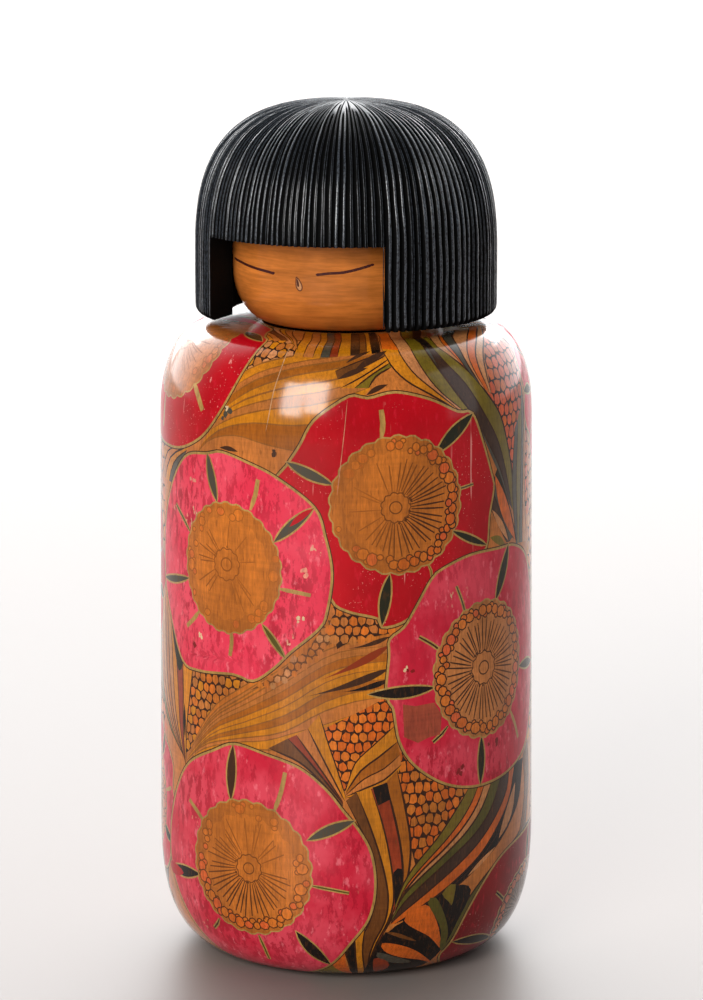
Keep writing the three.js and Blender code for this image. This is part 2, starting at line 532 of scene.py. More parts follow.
def honeycomb(art, field, pitch, tones, seed, line=LINE_BROWN):
    """A field of irregular cells between thin dark lines. What lies over its edge is painted later."""
    rng = np.random.default_rng(seed)
    art.add(field, LINE if line == LINE_BROWN else STAIN, line)
    field = np.array(field, float)
    low, high = field.min(axis=0), field.max(axis=0)
    columns, rows = ((high - low) / pitch).astype(int) + 2
    column, row = np.meshgrid(np.arange(columns), np.arange(rows))
    centres = low + np.stack([column + 0.5 * (row % 2), row], -1).reshape(-1, 2) * pitch
    centres += rng.uniform(-0.17, 0.17, centres.shape) * pitch
    for centre in centres[covered(centres, grow(field, 0.3 * pitch[0]))]:
        away = centres - centre
        apart = np.hypot(*away.T)
        away = away[(apart > 0) & (apart < 2.2 * max(pitch))]
        angle = rng.uniform(0, 1) + TURN * np.arange(CELL_SIDES) / CELL_SIDES
        way = np.c_[np.cos(angle), np.sin(angle)]
        ahead = np.maximum(way @ away.T, 0.01)
        reach = np.min((away ** 2).sum(axis=1) / 2 / ahead, axis=1).clip(0.5, 0.75 * max(pitch)) - CELL_GAP
        art.add(centre + way * reach[:, None], STAIN, varied(tones[rng.integers(len(tones))], rng))


def leaves(art, ribs, tones, width, seed, line=LINE_BROWN):
    """Long leaves side by side, one between each two neighbouring ribs, and a thin line on every rib."""
    rng = random.Random(seed)
    for left, right, tone in zip(ribs, ribs[1:], tones):
        dark = tone in (BLACK, SEPAL)
        art.add(np.vstack([left, right[::-1]]), LINE if dark else STAIN, varied(tone, rng, 0.06))
    for rib in ribs:
        art.stroke(rib, width * rng.uniform(0.8, 1.25), line, LINE if line == LINE_BROWN else STAIN)


def bands(art, ribs, tones, width=0.55, seed=0):
    """Leaves between ribs that are each given by a few points."""
    leaves(art, [smooth(rib, 3.0) for rib in ribs], tones, width, seed)


RIB_POINTS = 0.36                   # points on a rib, for each on the longest guide curve


def spray(art, guides, shares, tones, width=0.55, seed=0, line=LINE_BROWN):
    """A bunch of leaves whose ribs run evenly between a few guide curves."""
    curves = [smooth(guide, 2.0) for guide in guides]
    count = max(6, round(max(len(curve) for curve in curves) * RIB_POINTS))
    guides = [resample(curve, count) for curve in curves]
    ribs = []
    for share in shares:
        at = share * (len(guides) - 1)
        k = min(int(at), len(guides) - 2)
        ribs.append(guides[k] + (guides[k + 1] - guides[k]) * (at - k))
    leaves(art, ribs, tones, width, seed, line)


# ---- the body's painting ----

def front_leaves(art):
    """Leaf bunches and seed heads between the blooms on the painted front."""
    for field, pitch, tones, seed in (
        ([(-40, 230), (-20, 234), (-18, 247), (-38, 250)], (3.4, 3.9), (OCHRE, TAN, BEIGE), 1),
        ([(-66, 92), (-58, 98), (-24, 126), (-34, 130), (-66, 128)], (3.1, 3.3), (DISC, CELL, TAN, OCHRE), 2),
        ([(-12, 112), (-3, 86), (4, 90), (18, 106), (18, 121), (-2, 120)], (3.0, 3.4), (CELL, ORANGE), 5),
        ([(15, 96), (24, 60), (31, 64), (46, 84), (36, 92), (20, 101)], (2.9, 3.9), (CELL, ORANGE, DISC), 6),
        ([(57, 219), (66, 196), (72, 178), (86, 176), (84, 238), (72, 244), (60, 232)],
         (3.6, 4.2), (RED_CELL, RED_CELL, ORANGE), 7),
    ):
        honeycomb(art, field, pitch, tones, seed)

    # over the shoulder, between the upper left bloom and the crown of the body
    spray(art, [[(-60, 198), (-52, 205), (-40, 208), (-28, 206), (-14, 204)],
                [(-50, 210), (-40, 215), (-26, 219), (-8, 222), (12, 229)],
                [(-44, 218), (-34, 225), (-18, 231), (-2, 234), (16, 238)],
                [(-41, 229), (-32, 234), (-18, 238), (-6, 240), (6, 241)]],
          (0, 0.14, 0.3, 0.42, 0.52, 0.64, 0.76, 0.86, 1),
          (DEEP_OCHRE, OCHRE, TAN, OCHRE, OCHRE, DEEP_OCHRE, TAN, OCHRE), seed=1, line=FAINT_BROWN)
    spray(art, [[(8, 226), (11, 230), (17, 233)], [(-2, 226), (6, 230), (18, 237)],
                [(-4, 232), (6, 236), (17, 240)]],
          (0, 0.25, 0.5, 0.75, 1), (OLIVE, OCHRE, OCHRE, BROWN), seed=2)

    # upright leaves rising under the hair
    spray(art, [[(-21, 237), (-22, 250), (-31, 264)], [(-10, 237), (-9, 250), (-14, 264)],
                [(2, 238), (3, 250), (4, 264)], [(14, 239), (16, 250), (22, 264)]],
          (0, 0.12, 0.24, 0.33, 0.43, 0.52, 0.66, 0.76, 0.84, 0.9, 1),
          (OCHRE, TAN, OCHRE, SLATE, RED_BROWN, OCHRE, DARK_BROWN, BROWN, OCHRE, BLACK), seed=3)
    spray(art, [[(-20, 240), (-26, 250), (-42, 264)], [(-26, 246), (-36, 254), (-60, 264)],
                [(-38, 245), (-50, 252), (-90, 262)]],
          (0, 0.2, 0.38, 0.55, 0.7, 0.85, 1), (TAN, OCHRE, BEIGE, DARK_BROWN, TAN, OCHRE), seed=4)

    # upper right bunch, sweeping down to the right from under the hair
    bands(art, [[(15, 241), (17, 234), (22, 228), (30, 223), (40, 217)],
                [(22, 246), (22, 238), (25, 231), (31, 225), (42, 216)],
                [(28, 246), (27.5, 238), (30, 230), (35, 223), (44, 215.5)],
                [(34, 248), (33.5, 240), (35, 233), (40, 224), (47, 214.5)],
                [(36, 246), (35.5, 238), (37, 229), (43, 220), (49, 212), (56, 202), (62, 193), (68, 180)],
                [(38, 247), (37.5, 240), (40, 233), (46, 225), (53, 214), (60, 204), (65, 193), (70, 178)],
                [(42, 249), (40, 242), (43, 236), (49, 229), (56, 220), (62, 212), (67, 200), (70, 190),
                 (73, 174)]],
          (OCHRE, BEIGE, OLIVE, SLATE, DARK_BROWN, OLIVE), 0.6, seed=5)
    bands(art, [[(22, 262), (19, 254), (16, 247), (15, 241)],
                [(30, 262), (25, 254), (22, 246), (22, 240)],
                [(40, 262), (32, 254), (28, 246), (27.5, 240)],
                [(50, 262), (40, 254), (34, 248), (33.5, 240)],
                [(58, 262), (45, 254), (38, 248), (37.5, 240)]],
          (ORANGE, BEIGE, OLIVE, BLACK), 0.6, seed=6)
    bands(art, [[(46, 252), (41, 245), (40, 240), (43, 236)], [(52, 251), (45, 244), (44, 239), (47, 232)],
                [(60, 252), (49, 246), (46, 240), (48, 231), (51, 226)],
                [(66, 250), (54, 245), (50, 238), (50, 231), (53, 224)],
                [(78, 249), (62, 243), (53, 236), (52, 229), (55, 222)],
                [(84, 247), (70, 243), (58, 236), (55, 229), (57, 221)],
                [(86, 246), (74, 242), (62, 235), (58, 228), (58, 220)]],
          (BEIGE, ORANGE, SLATE, BEIGE, ORANGE, BEIGE), 0.6, seed=7)
    art.add(lens((43, 248), (53, 253), 3, 0.6), STAIN, RED_CELL)
    spray(art, [[(73, 165), (70, 186), (72, 206)], [(76, 165), (78, 186), (79, 214)],
                [(84, 164), (82, 186), (84, 236)]],
          (0, 0.2, 0.45, 0.7, 1), (SLATE, OLIVE, SLATE, BEIGE), seed=8)
    bands(art, [[(56, 181), (60, 175), (66, 167)], [(57, 187), (62, 178), (68, 167)],
                [(58, 191), (64, 180), (70, 168)], [(60, 194), (67, 181), (74, 166)]],
          (DARK_BROWN, SLATE, SEPAL), 0.5, seed=9)
    for tail, tip, bulk, bend, tone in (((58.5, 192), (72.5, 166.5), 5, -0.8, ORANGE),
                                        ((57, 180), (67, 167.5), 2.6, 0.2, BEIGE),
                                        ((56, 170.5), (65, 166), 3.0, 0.6, OLIVE)):
        art.add(lens(tail, tip, bulk, bend), STAIN, tone)

    # the long bunch that sweeps from the far left, under the pink bloom, up to the crimson one
    spray(art, [[(-66, 88), (-57, 94), (-44, 99), (-30, 100), (-18, 102), (-10, 108)],
                [(-66, 89), (-54, 98), (-38, 103), (-22, 107), (-8, 115), (4, 119), (14, 120)],
                [(-65, 90), (-51, 102), (-35, 109), (-20, 116), (-8, 124), (3, 128), (15, 129)],
                [(-64, 92), (-50, 106), (-36, 114), (-22, 122), (-9, 131), (1, 135), (15, 136)],
                [(-63, 94), (-50, 109), (-38, 117), (-25, 126), (-12, 135), (-3, 140), (15, 142)],
                [(-62, 96), (-50, 112), (-39, 120), (-27, 128), (-15, 138), (-7, 146), (-5, 155)]],
          (0, 0.1, 0.2, 0.27, 0.34, 0.42, 0.5, 0.58, 0.66, 0.74, 0.8, 0.88, 1),
          (OCHRE, TAN, OCHRE, DEEP_OCHRE, OCHRE, OCHRE, DEEP_OCHRE, TAN, TAN, DISC, TAN, DISC),
          0.45, seed=10, line=FAINT_BROWN)
    honeycomb(art, [(-34, 120.5), (-24, 127), (-13, 136.5), (-6, 147), (-3, 150), (-2, 144), (-8, 136),
                    (-20, 126)], (2.5, 2.5), (TAN, DISC, BEIGE), 3, BROWN)
    honeycomb(art, [(-3, 137), (2, 140), (15, 142), (17, 149), (4, 152), (-4, 154), (-5, 146)],
              (2.9, 3.2), (DISC, TAN, CELL), 4)
    for tail, tip, bulk, tone in (((-14, 120), (15, 130), 2.6, DARK_BROWN),
                                  ((-9, 126), (15, 138), 2.8, RED_BROWN),
                                  ((-2, 122), (15, 126), 2.0, BLACK),
                                  ((0, 137), (15, 141), 1.6, DARK_BROWN)):
        art.add(lens(tail, tip, bulk, -0.6, 0.7), LINE, tone)

    # two small bunches that rise from the gap right of the lower pink bloom
    bands(art, [[(-1, 82), (-8, 90), (-16, 97), (-27, 101)], [(-1, 83), (-8, 92), (-14, 99), (-20, 105)],
                [(-1, 83.5), (-8, 94), (-13, 101), (-17, 106.5)],
                [(-0.5, 84), (-6, 95), (-10, 103), (-13, 109)],
                [(0, 85), (-3, 95), (-6, 104), (-9, 114)]],
          (BROWN, RED_BROWN, TAN, OCHRE), 0.55, seed=11)
    bands(art, [[(0, 88), (3, 97), (9, 103), (17, 110)], [(0, 87), (5, 94.5), (11, 99), (17.5, 104)],
                [(0, 86), (6, 91.5), (13, 95), (18.5, 99.5)], [(0, 85.5), (7, 88.5), (13, 91), (19, 96)],
                [(0, 85), (6, 86), (12, 87), (17.5, 92)]],
          (OCHRE, DEEP_OCHRE, TAN, OCHRE), 0.55, seed=12)

    # ribbons that run down beside the lower pink bloom
    bands(art, [[(0, 84), (4, 76), (8, 67), (10.3, 58), (10, 48), (8, 40), (5, 33), (4, 25), (5, 12)],
                [(3.5, 87), (7, 78), (11, 66), (13.5, 56), (14.5, 48), (13.5, 40), (10, 32), (8.5, 24),
                 (9, 12)],
                [(8.5, 88), (12, 77), (14.5, 66), (16, 56), (16.3, 47), (14.5, 40), (11, 32), (9.5, 25),
                 (10, 12)],
                [(13.5, 90), (16.5, 78), (18.7, 67), (19.5, 57), (18.3, 49), (15.5, 41), (12, 33)],
                [(17.5, 94), (20.5, 80), (22.3, 68), (21.5, 57), (18.7, 48), (15.8, 41), (12.5, 34)]],
          (BROWN, OCHRE, RED_BROWN, DEEP_OCHRE), 0.7, seed=13)
    art.add([(9, 88.5), (14, 90), (15.3, 84), (10.8, 82)], LINE, BLACK)
    art.add(smooth([(16.2, 58), (19.2, 59), (19.2, 53), (17.2, 44.5), (16.6, 50)], 2, True), LINE, BLACK)
    bands(art, [[(-1, 30), (1, 22), (3, 10)], [(3, 35), (3.5, 26), (5, 12)], [(6.5, 38), (6, 28), (8, 14)]],
          (BLACK, OCHRE), 0.6, seed=14)
    bands(art, [[(9, 12), (9, 24), (11, 31), (14, 36)], [(12, 12), (11, 24), (12.5, 31), (15, 36)]],
          (BLACK,), 0.5, seed=15)

    # the big fan that opens to the right, below the right-hand pink bloom
    bands(art, [[(17, 46), (20, 54), (25, 61), (32, 68), (38, 75), (43, 81), (47, 86)],
                [(17, 45), (21, 53), (27.5, 60), (35, 66.5), (42, 73), (47, 79), (51, 86)],
                [(16.6, 43.5), (20.5, 51), (27, 58), (35, 64), (43, 70.5), (49.5, 77.5), (54, 86)],
                [(16.3, 42), (20, 49.5), (27, 56), (36, 62.5), (45, 69), (52, 76), (58, 86)],
                [(15.8, 40), (20, 46.5), (28, 53.5), (38, 60.5), (49, 67.5), (57, 75), (63, 86)],
                [(15.5, 39), (21, 44), (30, 50.5), (40, 57), (50, 63.5), (59, 71), (66, 79), (68, 87)],
                [(17, 39), (24, 43), (32, 47.5), (42, 53.5), (52, 60), (61, 68), (68, 76), (72, 87)],
                [(20, 40), (28, 45.5), (38, 50), (47, 55), (56, 61), (64, 68), (71, 76), (74, 87)],
                [(20, 39), (30, 44), (40, 49.5), (50, 55), (60, 60.5), (69, 67), (76, 74), (80, 87)]],
          (OLIVE, ORANGE, BEIGE, DARK_OLIVE, DARK_BROWN, ORANGE, BLACK, BLACK), 0.6, seed=16)
    art.add(lens((45, 52.5), (59, 60), 1.6, 0.3), STAIN, BEIGE)
    art.add(lens((61, 62.5), (72.5, 80), 4.6, -1.2), STAIN, BEIGE)
    bands(art, [[(37, 26), (40, 35), (46, 44), (54, 51), (64, 56.5), (74, 60), (86, 66)],
                [(38.5, 24), (43, 33), (48, 41), (56, 48), (66, 53), (78, 57), (90, 60)]],
          (DARK_OLIVE,), 0.6, seed=17)
    bands(art, [[(76, 60), (80, 68), (82, 76), (80, 88)], [(84, 62), (86, 70), (88, 78), (86, 92)],
                [(90, 62), (92, 72), (93, 80), (92, 92)]],
          (BROWN, BEIGE), 0.6, seed=18)

    # dark foot of that fan, with a few bright leaves
    for outline, step, paint, tone in (
        ([(15, 36), (22, 40.5), (30, 45), (40, 50), (47, 47), (42, 36), (38, 25), (33, 16), (20, 10), (8, 12),
          (9, 24)], 3, LINE, BLACK),
        ([(20.5, 40), (28, 45), (32, 40), (35, 33), (37, 26), (31, 32)], 2, STAIN, ORANGE),
        ([(29, 45.5), (32, 47), (36, 40), (38.8, 32), (38.6, 24), (36.5, 27), (35, 35)],
         2, STAIN, DARK_OLIVE),
        ([(34.5, 48), (38, 51), (40, 50.5), (39.5, 46), (38.7, 43), (37, 45)], 2, STAIN, OLIVE),
        ([(13, 31.5), (20, 30), (28, 25.5), (37, 17), (30, 21), (20, 24.5), (14, 28)], 2, STAIN, ORANGE),
        ([(11.5, 27.5), (18, 25), (26, 21), (22, 20.5), (13, 23.5)], 2, STAIN, SLATE),
        ([(10.5, 24.5), (16, 22.5), (17, 18), (12, 15)], 2, STAIN, RED_BROWN),
        ([(14, 36), (19, 35), (26, 31), (20, 33)], 2, STAIN, BROWN),
        ([(-14, 12), (-9, 20), (-5, 21.5), (-1, 18), (2, 10), (-6, 5)], 2, STAIN, OLIVE),
        ([(-5.5, 22), (-1, 29.5), (0, 22), (3, 12), (0, 14)], 2, STAIN, ORANGE),
    ):
        art.add(smooth(outline, step, True), paint, tone)

    # the bunch on the far left
    spray(art, [[(-66, 88), (-65.5, 100), (-63.5, 112), (-61, 125)],
                [(-66.3, 88), (-69, 100), (-70, 112), (-72, 126)],
                [(-66.6, 89), (-73, 101), (-77, 114), (-80, 140)],
                [(-67, 90), (-78, 103), (-85, 118), (-88, 150)],
                [(-68, 91), (-84, 102), (-96, 116), (-104, 142)]],
          (0, 0.16, 0.3, 0.44, 0.56, 0.68, 0.8, 0.9, 1),
          (OCHRE, RED_BROWN, OCHRE, BEIGE, TAN, BEIGE, TAN, OLIVE), seed=19)
    art.add(smooth([(-68, 124), (-71, 120.5), (-74, 126), (-77.5, 137), (-74, 131)], 2, True), LINE, SEPAL)
    art.add(lens((-66.6, 97), (-66.8, 110), 1.6), LINE, BLACK)
    spray(art, [[(-76, 186), (-72, 193), (-66, 198)], [(-90, 186), (-82, 196), (-62, 203)]],
          (0, 0.3, 0.65, 1), (SLATE, OCHRE, TAN), seed=20)


LEAF_TONES = (OCHRE, DEEP_OCHRE, TAN, OLIVE, BROWN, OCHRE, BEIGE, ORANGE, DARK_BROWN, OCHRE, SLATE, RED_BROWN)

# centre, radii and petal colour of each bloom on the side that faces away
BACK_BLOOMS = (((172, 196), (33, 31), CRIMSON_PAINT), ((-158, 222), (30, 28), PINK_PAINT),
               ((134, 152), (33, 31), CRIMSON_PAINT), ((-113, 152), (27, 29), CRIMSON_PAINT),
               ((-157, 152), (29, 31), DEEP_PINK), ((182, 112), (31, 32), PINK_PAINT),
               ((130, 86), (29, 30), DEEP_PINK), ((172, 40), (32, 32), CRIMSON_PAINT),
               ((-152, 92), (31, 29), CRIMSON_PAINT), ((-140, 28), (30, 29), PINK_PAINT))

# where the leaves between the back's blooms spring from, and the points that they run to
BACK_LEAVES = (
    ((204, 164), ((172, 196), (255, 152), (182, 112))),
    ((98, 182), ((134, 152), (92, 290), (128, 290))),
    ((100, 114), ((134, 152), (130, 86))),
    ((206, 74), ((172, 40), (182, 112), (260, 92))),
    ((-196, 30), ((-240, 40), (-140, 28))),
    ((-184, 121), ((-157, 152), (-152, 92), (-230, 112))),
    ((-132, 122), ((-113, 152), (-152, 92))),
    ((-97, 112), ((-113, 152), (-104, 70))),
    ((-122, 190), ((-113, 152), (-158, 222), (-130, 290))),
    ((-192, 190), ((-158, 222), (-157, 152), (-206, 290))),
    ((-134, 60), ((-152, 92), (-140, 28))),
    ((-182, 60), ((-152, 92), (-140, 28), (-196, -20))),
    ((-100, 22), ((-140, 28), (-104, 70), (-76, -20))),
    ((126, 46), ((130, 86), (172, 40), (120, -20))),
    ((150, 226), ((172, 196), (150, 290))),
)
SWEEP_HALF_WIDTH = 25               # how wide such a bunch opens where it ends


def sweep(art, apex, target, seed):
    """A bunch of leaves that opens from an apex and runs in under whatever lies at the target."""
    rng = random.Random(seed)
    apex, target = np.array(apex, float), np.array(target, float)
    along = target - apex
    across = np.array([-along[1], along[0]]) / np.hypot(*along)
    bend = across * rng.uniform(-8, 8)
    guides = []
    for side in (-SWEEP_HALF_WIDTH, 0, SWEEP_HALF_WIDTH):
        whole = target + across * side - apex
        start = apex + across * side * 0.03
        guides.append([start, start + whole * 0.35 + bend * 0.8, start + whole * 0.75 + bend])
    count = rng.choice((5, 6, 7))
    cuts = np.cumsum([0] + [rng.uniform(0.6, 1.4) for _ in range(count)])
    tones = [rng.choice(LEAF_TONES) for _ in range(count)]
    spray(art, guides, cuts / cuts[-1], tones, 0.6, seed)


def back_leaves(art):
    """Leaves and seed heads on the side that faces away, in the same manner as the front."""
    near, far, low, high = 86, 206, -20, 262
    for side, seed in ((1, 21), (-1, 22)):
        field = [(near * side, low), (far * side, low), (far * side, high), (near * side, high)]
        honeycomb(art, field, (4.3, 4.9), (CELL, ORANGE, TAN, OCHRE), seed)
    for k, (apex, targets) in enumerate(BACK_LEAVES):
        for j, target in enumerate(targets):
            sweep(art, apex, target, 10 * k + j)


PETALS = 9


def bloom(art, centre, radii, petal, seed, lines):
    """A bloom made to the front ones' pattern: about nine soft petals, sepals and stalks between them."""
    rng = random.Random(seed)
    start = rng.uniform(0, TURN)
    outline = []
    for k in range(PETALS * 3):
        a = start + TURN * k / (PETALS * 3)
        reach = rng.uniform(0.99, 1.05) if k % 3 else rng.uniform(0.93, 0.97)
        outline.append((centre[0] + radii[0] * reach * math.cos(a),
                        centre[1] + radii[1] * reach * math.sin(a)))
    disc = (centre[0] + rng.uniform(-2, 2), centre[1] + rng.uniform(-2, 2))
    disc_radii = (radii[0] * 0.58, radii[1] * 0.6)
    sepals, stalks = [], []
    for k in range(PETALS):
        a = start + TURN * k / PETALS
        way = np.array([math.cos(a), math.sin(a)])
        tail = np.array(disc) + way * disc_radii * np.array([1.02, 1.02])
        tip = np.array(centre) + way * radii * np.array([0.97, 0.97])
        if k % 2:
            end = tail + (tip - tail) * rng.uniform(0.6, 0.8)
            stalks.append((tail, end, 1.5, rng.choice((None, DARK_BROWN))))
        else:
            width = rng.uniform(2.6, 3.8)
            tone = rng.choice((SEPAL, BLACK, DARK_BROWN))
            sepals.append((tail, tip, width, tone, rng.uniform(-1, 1)))
    flower(art, outline, petal, disc, disc_radii, disc, seed, sepals, stalks, lines=lines)


def back_blooms(art):
    """The side that faces away. Each bloom's lines are burned clearest in a direction of its own."""
    for k, (centre, radii, petal) in enumerate(BACK_BLOOMS):
        bloom(art, centre, radii, petal, 70 + k, (k * 1.3, 0.2 + 0.15 * (k % 4), 0.9))


def front_blooms(art):
    """The six blooms of the painted front, and two that reach round its right and left edges."""
    bloom(art, (112, 216), (30, 28), PINK_PAINT, 61, (2.5, 0.4, 0.9))
    bloom(art, (-104, 70), (30, 31), DEEP_PINK, 62, (1.0, 0.3, 0.9))

    flower(art, [(-37, 243.5), (-40, 230), (-47, 215.5), (-58, 204.3), (-76, 198.8), (-102, 202),
                 (-120, 222), (-120, 250), (-100, 262), (-62, 262), (-50, 255), (-42, 248)],
           CRIMSON_PAINT, (-81, 238), (25, 21.5), (-84, 238), 51,
           sepals=[((-60, 251), (-39, 243.5), 4.6, SEPAL, 0.6), ((-104, 226), (-120, 218), 3.4, SEPAL, 0)],
           stalks=[((-63.5, 223.5), (-56, 214.5), 2.2, None), ((-86, 216), (-88, 204), 1.8, None)],
           disc_colour=TAN, lines=(1.2, 0.0, 0.35))
    flower(art, [(-24, 193), (-20.5, 199.3), (-15.8, 206.5), (-11, 215), (-1.5, 222), (3, 223.6),
                 (7.5, 222.6), (17.5, 224.3), (30, 221.2), (41, 216), (47, 215), (51.5, 206), (57.2, 191.5),
                 (58, 187), (55.6, 178), (54, 167.5), (46, 164), (34, 158), (26, 150), (19, 145.3),
                 (12.2, 144.2), (10.8, 147.3), (0, 150.2), (-5.2, 154.5), (-10, 170), (-14, 180)],
           CRIMSON_PAINT, (18, 186), (22.6, 22.6), (17, 185.2), 52,
           sepals=[((31.5, 202.5), (47.5, 214.6), 4.2, SEPAL, 0.5),
                   ((38, 175.5), (54, 168.3), 2.2, SEPAL, -0.2),
                   ((14.9, 162.5), (12.2, 144.8), 3.5, SEPAL, -0.3),
                   ((-4.5, 193.5), (-20.5, 200.6), 3.2, SLATE, 0.2)],
           stalks=[((12, 209), (12.1, 218.6), 1.9, None), ((39, 189.3), (47.5, 190.4), 1.3, SLATE),
                   ((28.4, 165.5), (30.2, 160), 1.1, OLIVE)],
           lines=(-0.3, 0.05, 1.0), rosette=4.6)
    flower(art, [(41, 27), (46, 39), (53.5, 49), (63, 56), (77, 59.3), (100, 61), (112, 55), (122, 30),
                 (104, 6), (84, 2), (62, 4), (46, 12), (38.5, 21)],
           DARK_CRIMSON, (86, 30), (20.5, 17.5), (86, 30), 53,
           sepals=[((68, 22), (42, 27.5), 3.8, BLACK, -0.6), ((86, 48), (88, 60), 3, BLACK, 0)],
           stalks=[((70.5, 35), (61, 42.7), 1.7, BLACK), ((96, 14), (100, 7), 1.6, None)],
           disc_colour=BROWN, lines=(2.8, 0.5, 0.8))
    flower(art, [(-46, 201.6), (-35, 199.2), (-24, 195), (-10.8, 185.6), (-7, 175.5), (-4.7, 163),
                 (-6.4, 150), (-9, 144), (-19, 135.2), (-25, 129.2), (-33, 123.8), (-41, 125), (-58, 123.4),
                 (-68, 124.8), (-77, 137), (-84.5, 151), (-85, 168), (-78, 184), (-66, 197.2),
                 (-53, 200.2)],
           PINK_PAINT, (-43.6, 161.8), (20.3, 21.6), (-44, 163), 54,
           sepals=[((-48.3, 184), (-53, 200.2), 3.2, SLATE, 0.3),
                   ((-25, 172.8), (-10.8, 185.4), 3.4, SLATE, 0.2),
                   ((-29.4, 144), (-21, 133), 1.7, DARK_OLIVE, 0.1),
                   ((-63.5, 155), (-85, 151), 2.4, SLATE, 0.4)],
           stalks=[((-34, 183), (-31, 193.8), 1.7, None), ((-23.6, 157), (-12, 155.3), 1.4, None),
                   ((-42, 140.5), (-42.5, 131.3), 1.6, None), ((-57.5, 144.4), (-65, 137.8), 1.7, None),
                   ((-63, 171.5), (-73, 179.3), 1.7, SLATE)],
           lines=(3.4, 0.0, 0.25), rosette=5.0)
    art.add(lens((-19.4, 178.5), (-11, 185.2), 2.2, 0.3), CRIMSON, CRIMSON_PAINT)
    flower(art, [(14.9, 140), (20, 143.9), (24.6, 151), (30, 159.6), (34.5, 162.8), (46, 166), (60, 166),
                 (72, 165), (84, 158), (92.5, 140), (93, 114), (85, 94), (70, 86.3), (51, 84), (36, 87),
                 (24, 95), (18.3, 104), (16, 116), (13.6, 120.3), (14.7, 134)],
           DEEP_PINK, (53.4, 125), (21.6, 23), (52.7, 125.5), 55,
           sepals=[((59, 147.8), (67.2, 166.4), 3.8, SEPAL, -0.3),
                   ((31.5, 121.8), (7.5, 121.2), 3.8, BLACK, 0.3),
                   ((51.5, 101.5), (51, 84.3), 3.0, SEPAL, 0.2), ((76, 121), (93, 119), 3.2, SLATE, 0.2)],
           stalks=[((44.4, 143.5), (40, 156), 1.4, SLATE), ((34, 134), (25.4, 140), 1.6, DARK_BROWN),
                   ((36.5, 107.5), (30.6, 102.6), 1.7, BLACK), ((68.5, 107), (75, 95.5), 1.5, None)],
           disc_colour=blend(DISC, BEIGE, 0.5), lines=(3.1, 0.8, 1.0), rosette=5.2)
    worn_patch = [(20, 105.5), (25, 103), (29, 104.5), (33.5, 105), (34, 112), (31, 116.5), (24, 116),
                  (19.5, 117)]
    art.add(worn_patch, STAIN, DUSTY_ROSE)
    flower(art, [(-40.5, 100.6), (-28, 98.6), (-16, 95), (-7, 88), (-0.8, 80.2), (4.3, 73.6), (8.6, 65),
                 (10, 53), (7.8, 41.5), (1.5, 31.8), (-6, 21.4), (-16, 13.5), (-26, 8.5), (-40, 8),
                 (-52, 13), (-61, 22), (-72, 36), (-78.5, 50), (-78, 65), (-72, 79), (-63.5, 89.5),
                 (-50, 96.7)],
           DEEP_PINK, (-35.7, 57), (23, 23.2), (-34.8, 57.2), 56,
           sepals=[((-42.2, 80.2), (-41.2, 100.2), 3.6, DARK_BROWN, 0.3),
                   ((-13.2, 69.6), (3, 77), 3.3, SLATE, 0.3),
                   ((-17.8, 36), (-6, 21.5), 4.2, BLACK, -0.4),
                   ((-57.5, 50.4), (-79, 47.6), 4.0, BLACK, 0.2)],
           stalks=[((-25, 78.8), (-21, 93), 1.6, None), ((-12.5, 53.6), (1, 51.2), 1.4, DARK_OLIVE),
                   ((-32.6, 32.5), (-31, 21.3), 1.6, DARK_OLIVE),
                   ((-49.6, 35.6), (-53.8, 30.8), 1.7, DARK_BROWN), ((-54.6, 69.6), (-63.6, 76), 1.7, None)],
           lines=(-1.9, 0.15, 0.9), rosette=4.4)
    red_leaf = smooth([(-68.5, 48), (-73, 45.7), (-79, 45.6), (-79.4, 49.4), (-73, 49.6)], 2, True)
    art.add(red_leaf, CRIMSON, CRIMSON_PAINT)


def wear(art):
    """Two drying cracks, small chips where the paint has gone, and a few dark dabs on the leaves."""
    for path, width, tone in (([(-24, 243), (-24.5, 233), (-26, 224), (-27, 216), (-28, 210.5)], 0.35, TAN),
                              ([(0.5, 222), (-0.5, 212), (-1.6, 202), (-3, 190)], 0.25, CRIMSON_PAINT)):
        art.stroke(smooth(path, 3), width, blend(CREAM, tone, 0.5), STAIN)
    rng = random.Random(5)
    rosy = blend(CREAM, PINK_PAINT, 0.5)
    chips = [((-44.5, 216.5), 2.6, 7, SLATE), ((-43.5, 216), 1.4, 4, CREAM),
             ((-24.5, 203), 2.0, 5, DARK_BROWN), ((-16, 148), 1.9, 3, CREAM),
             ((-57, 136), 1.8, 4, CREAM), ((-60.5, 132), 2.4, 4, DARK_CRIMSON),
             ((21, 129.3), 1.7, 4, CREAM), ((22.5, 128.3), 1.5, 3, DARK_CRIMSON),
             ((42, 91), 2.2, 5, DARK_CRIMSON), ((-13.5, 163.5), 2.2, 4, rosy),
             ((-61, 190), 2.2, 3, rosy), ((58, 98), 2.6, 4, DARK_CRIMSON)]
    for centre, spread, count, colour in chips:
        for _ in range(count):
            size = rng.uniform(0.25, 0.5) * spread
            spot = (centre[0] + rng.gauss(0, spread * 0.4), centre[1] + rng.gauss(0, spread * 0.4))
            flake = [(x + rng.uniform(-0.3, 0.3) * size, y + rng.uniform(-0.3, 0.3) * size)
                     for x, y in ring(spot, (size * 0.8, size), 0, 0, 8)]
            art.add(flake, STAIN, colour)
    for tail, tip, bulk in (((-3, 229), (8, 233), 2.0), ((3, 232), (17, 240), 2.6),
                            ((7, 223.5), (15, 227), 1.8), ((0, 235), (10, 240), 1.4),
                            ((-47, 203), (-39, 202.5), 1.6)):
        art.add(lens(tail, tip, bulk, 0.4), LINE, DARK_BROWN)


BODY_PITCH = 4.4                    # spacing of the even points that the skins are cut along
FACE_PITCH = 2.0
PLAIN_FROM = 17                     # the painting ends this far in from the shoulder's top edge


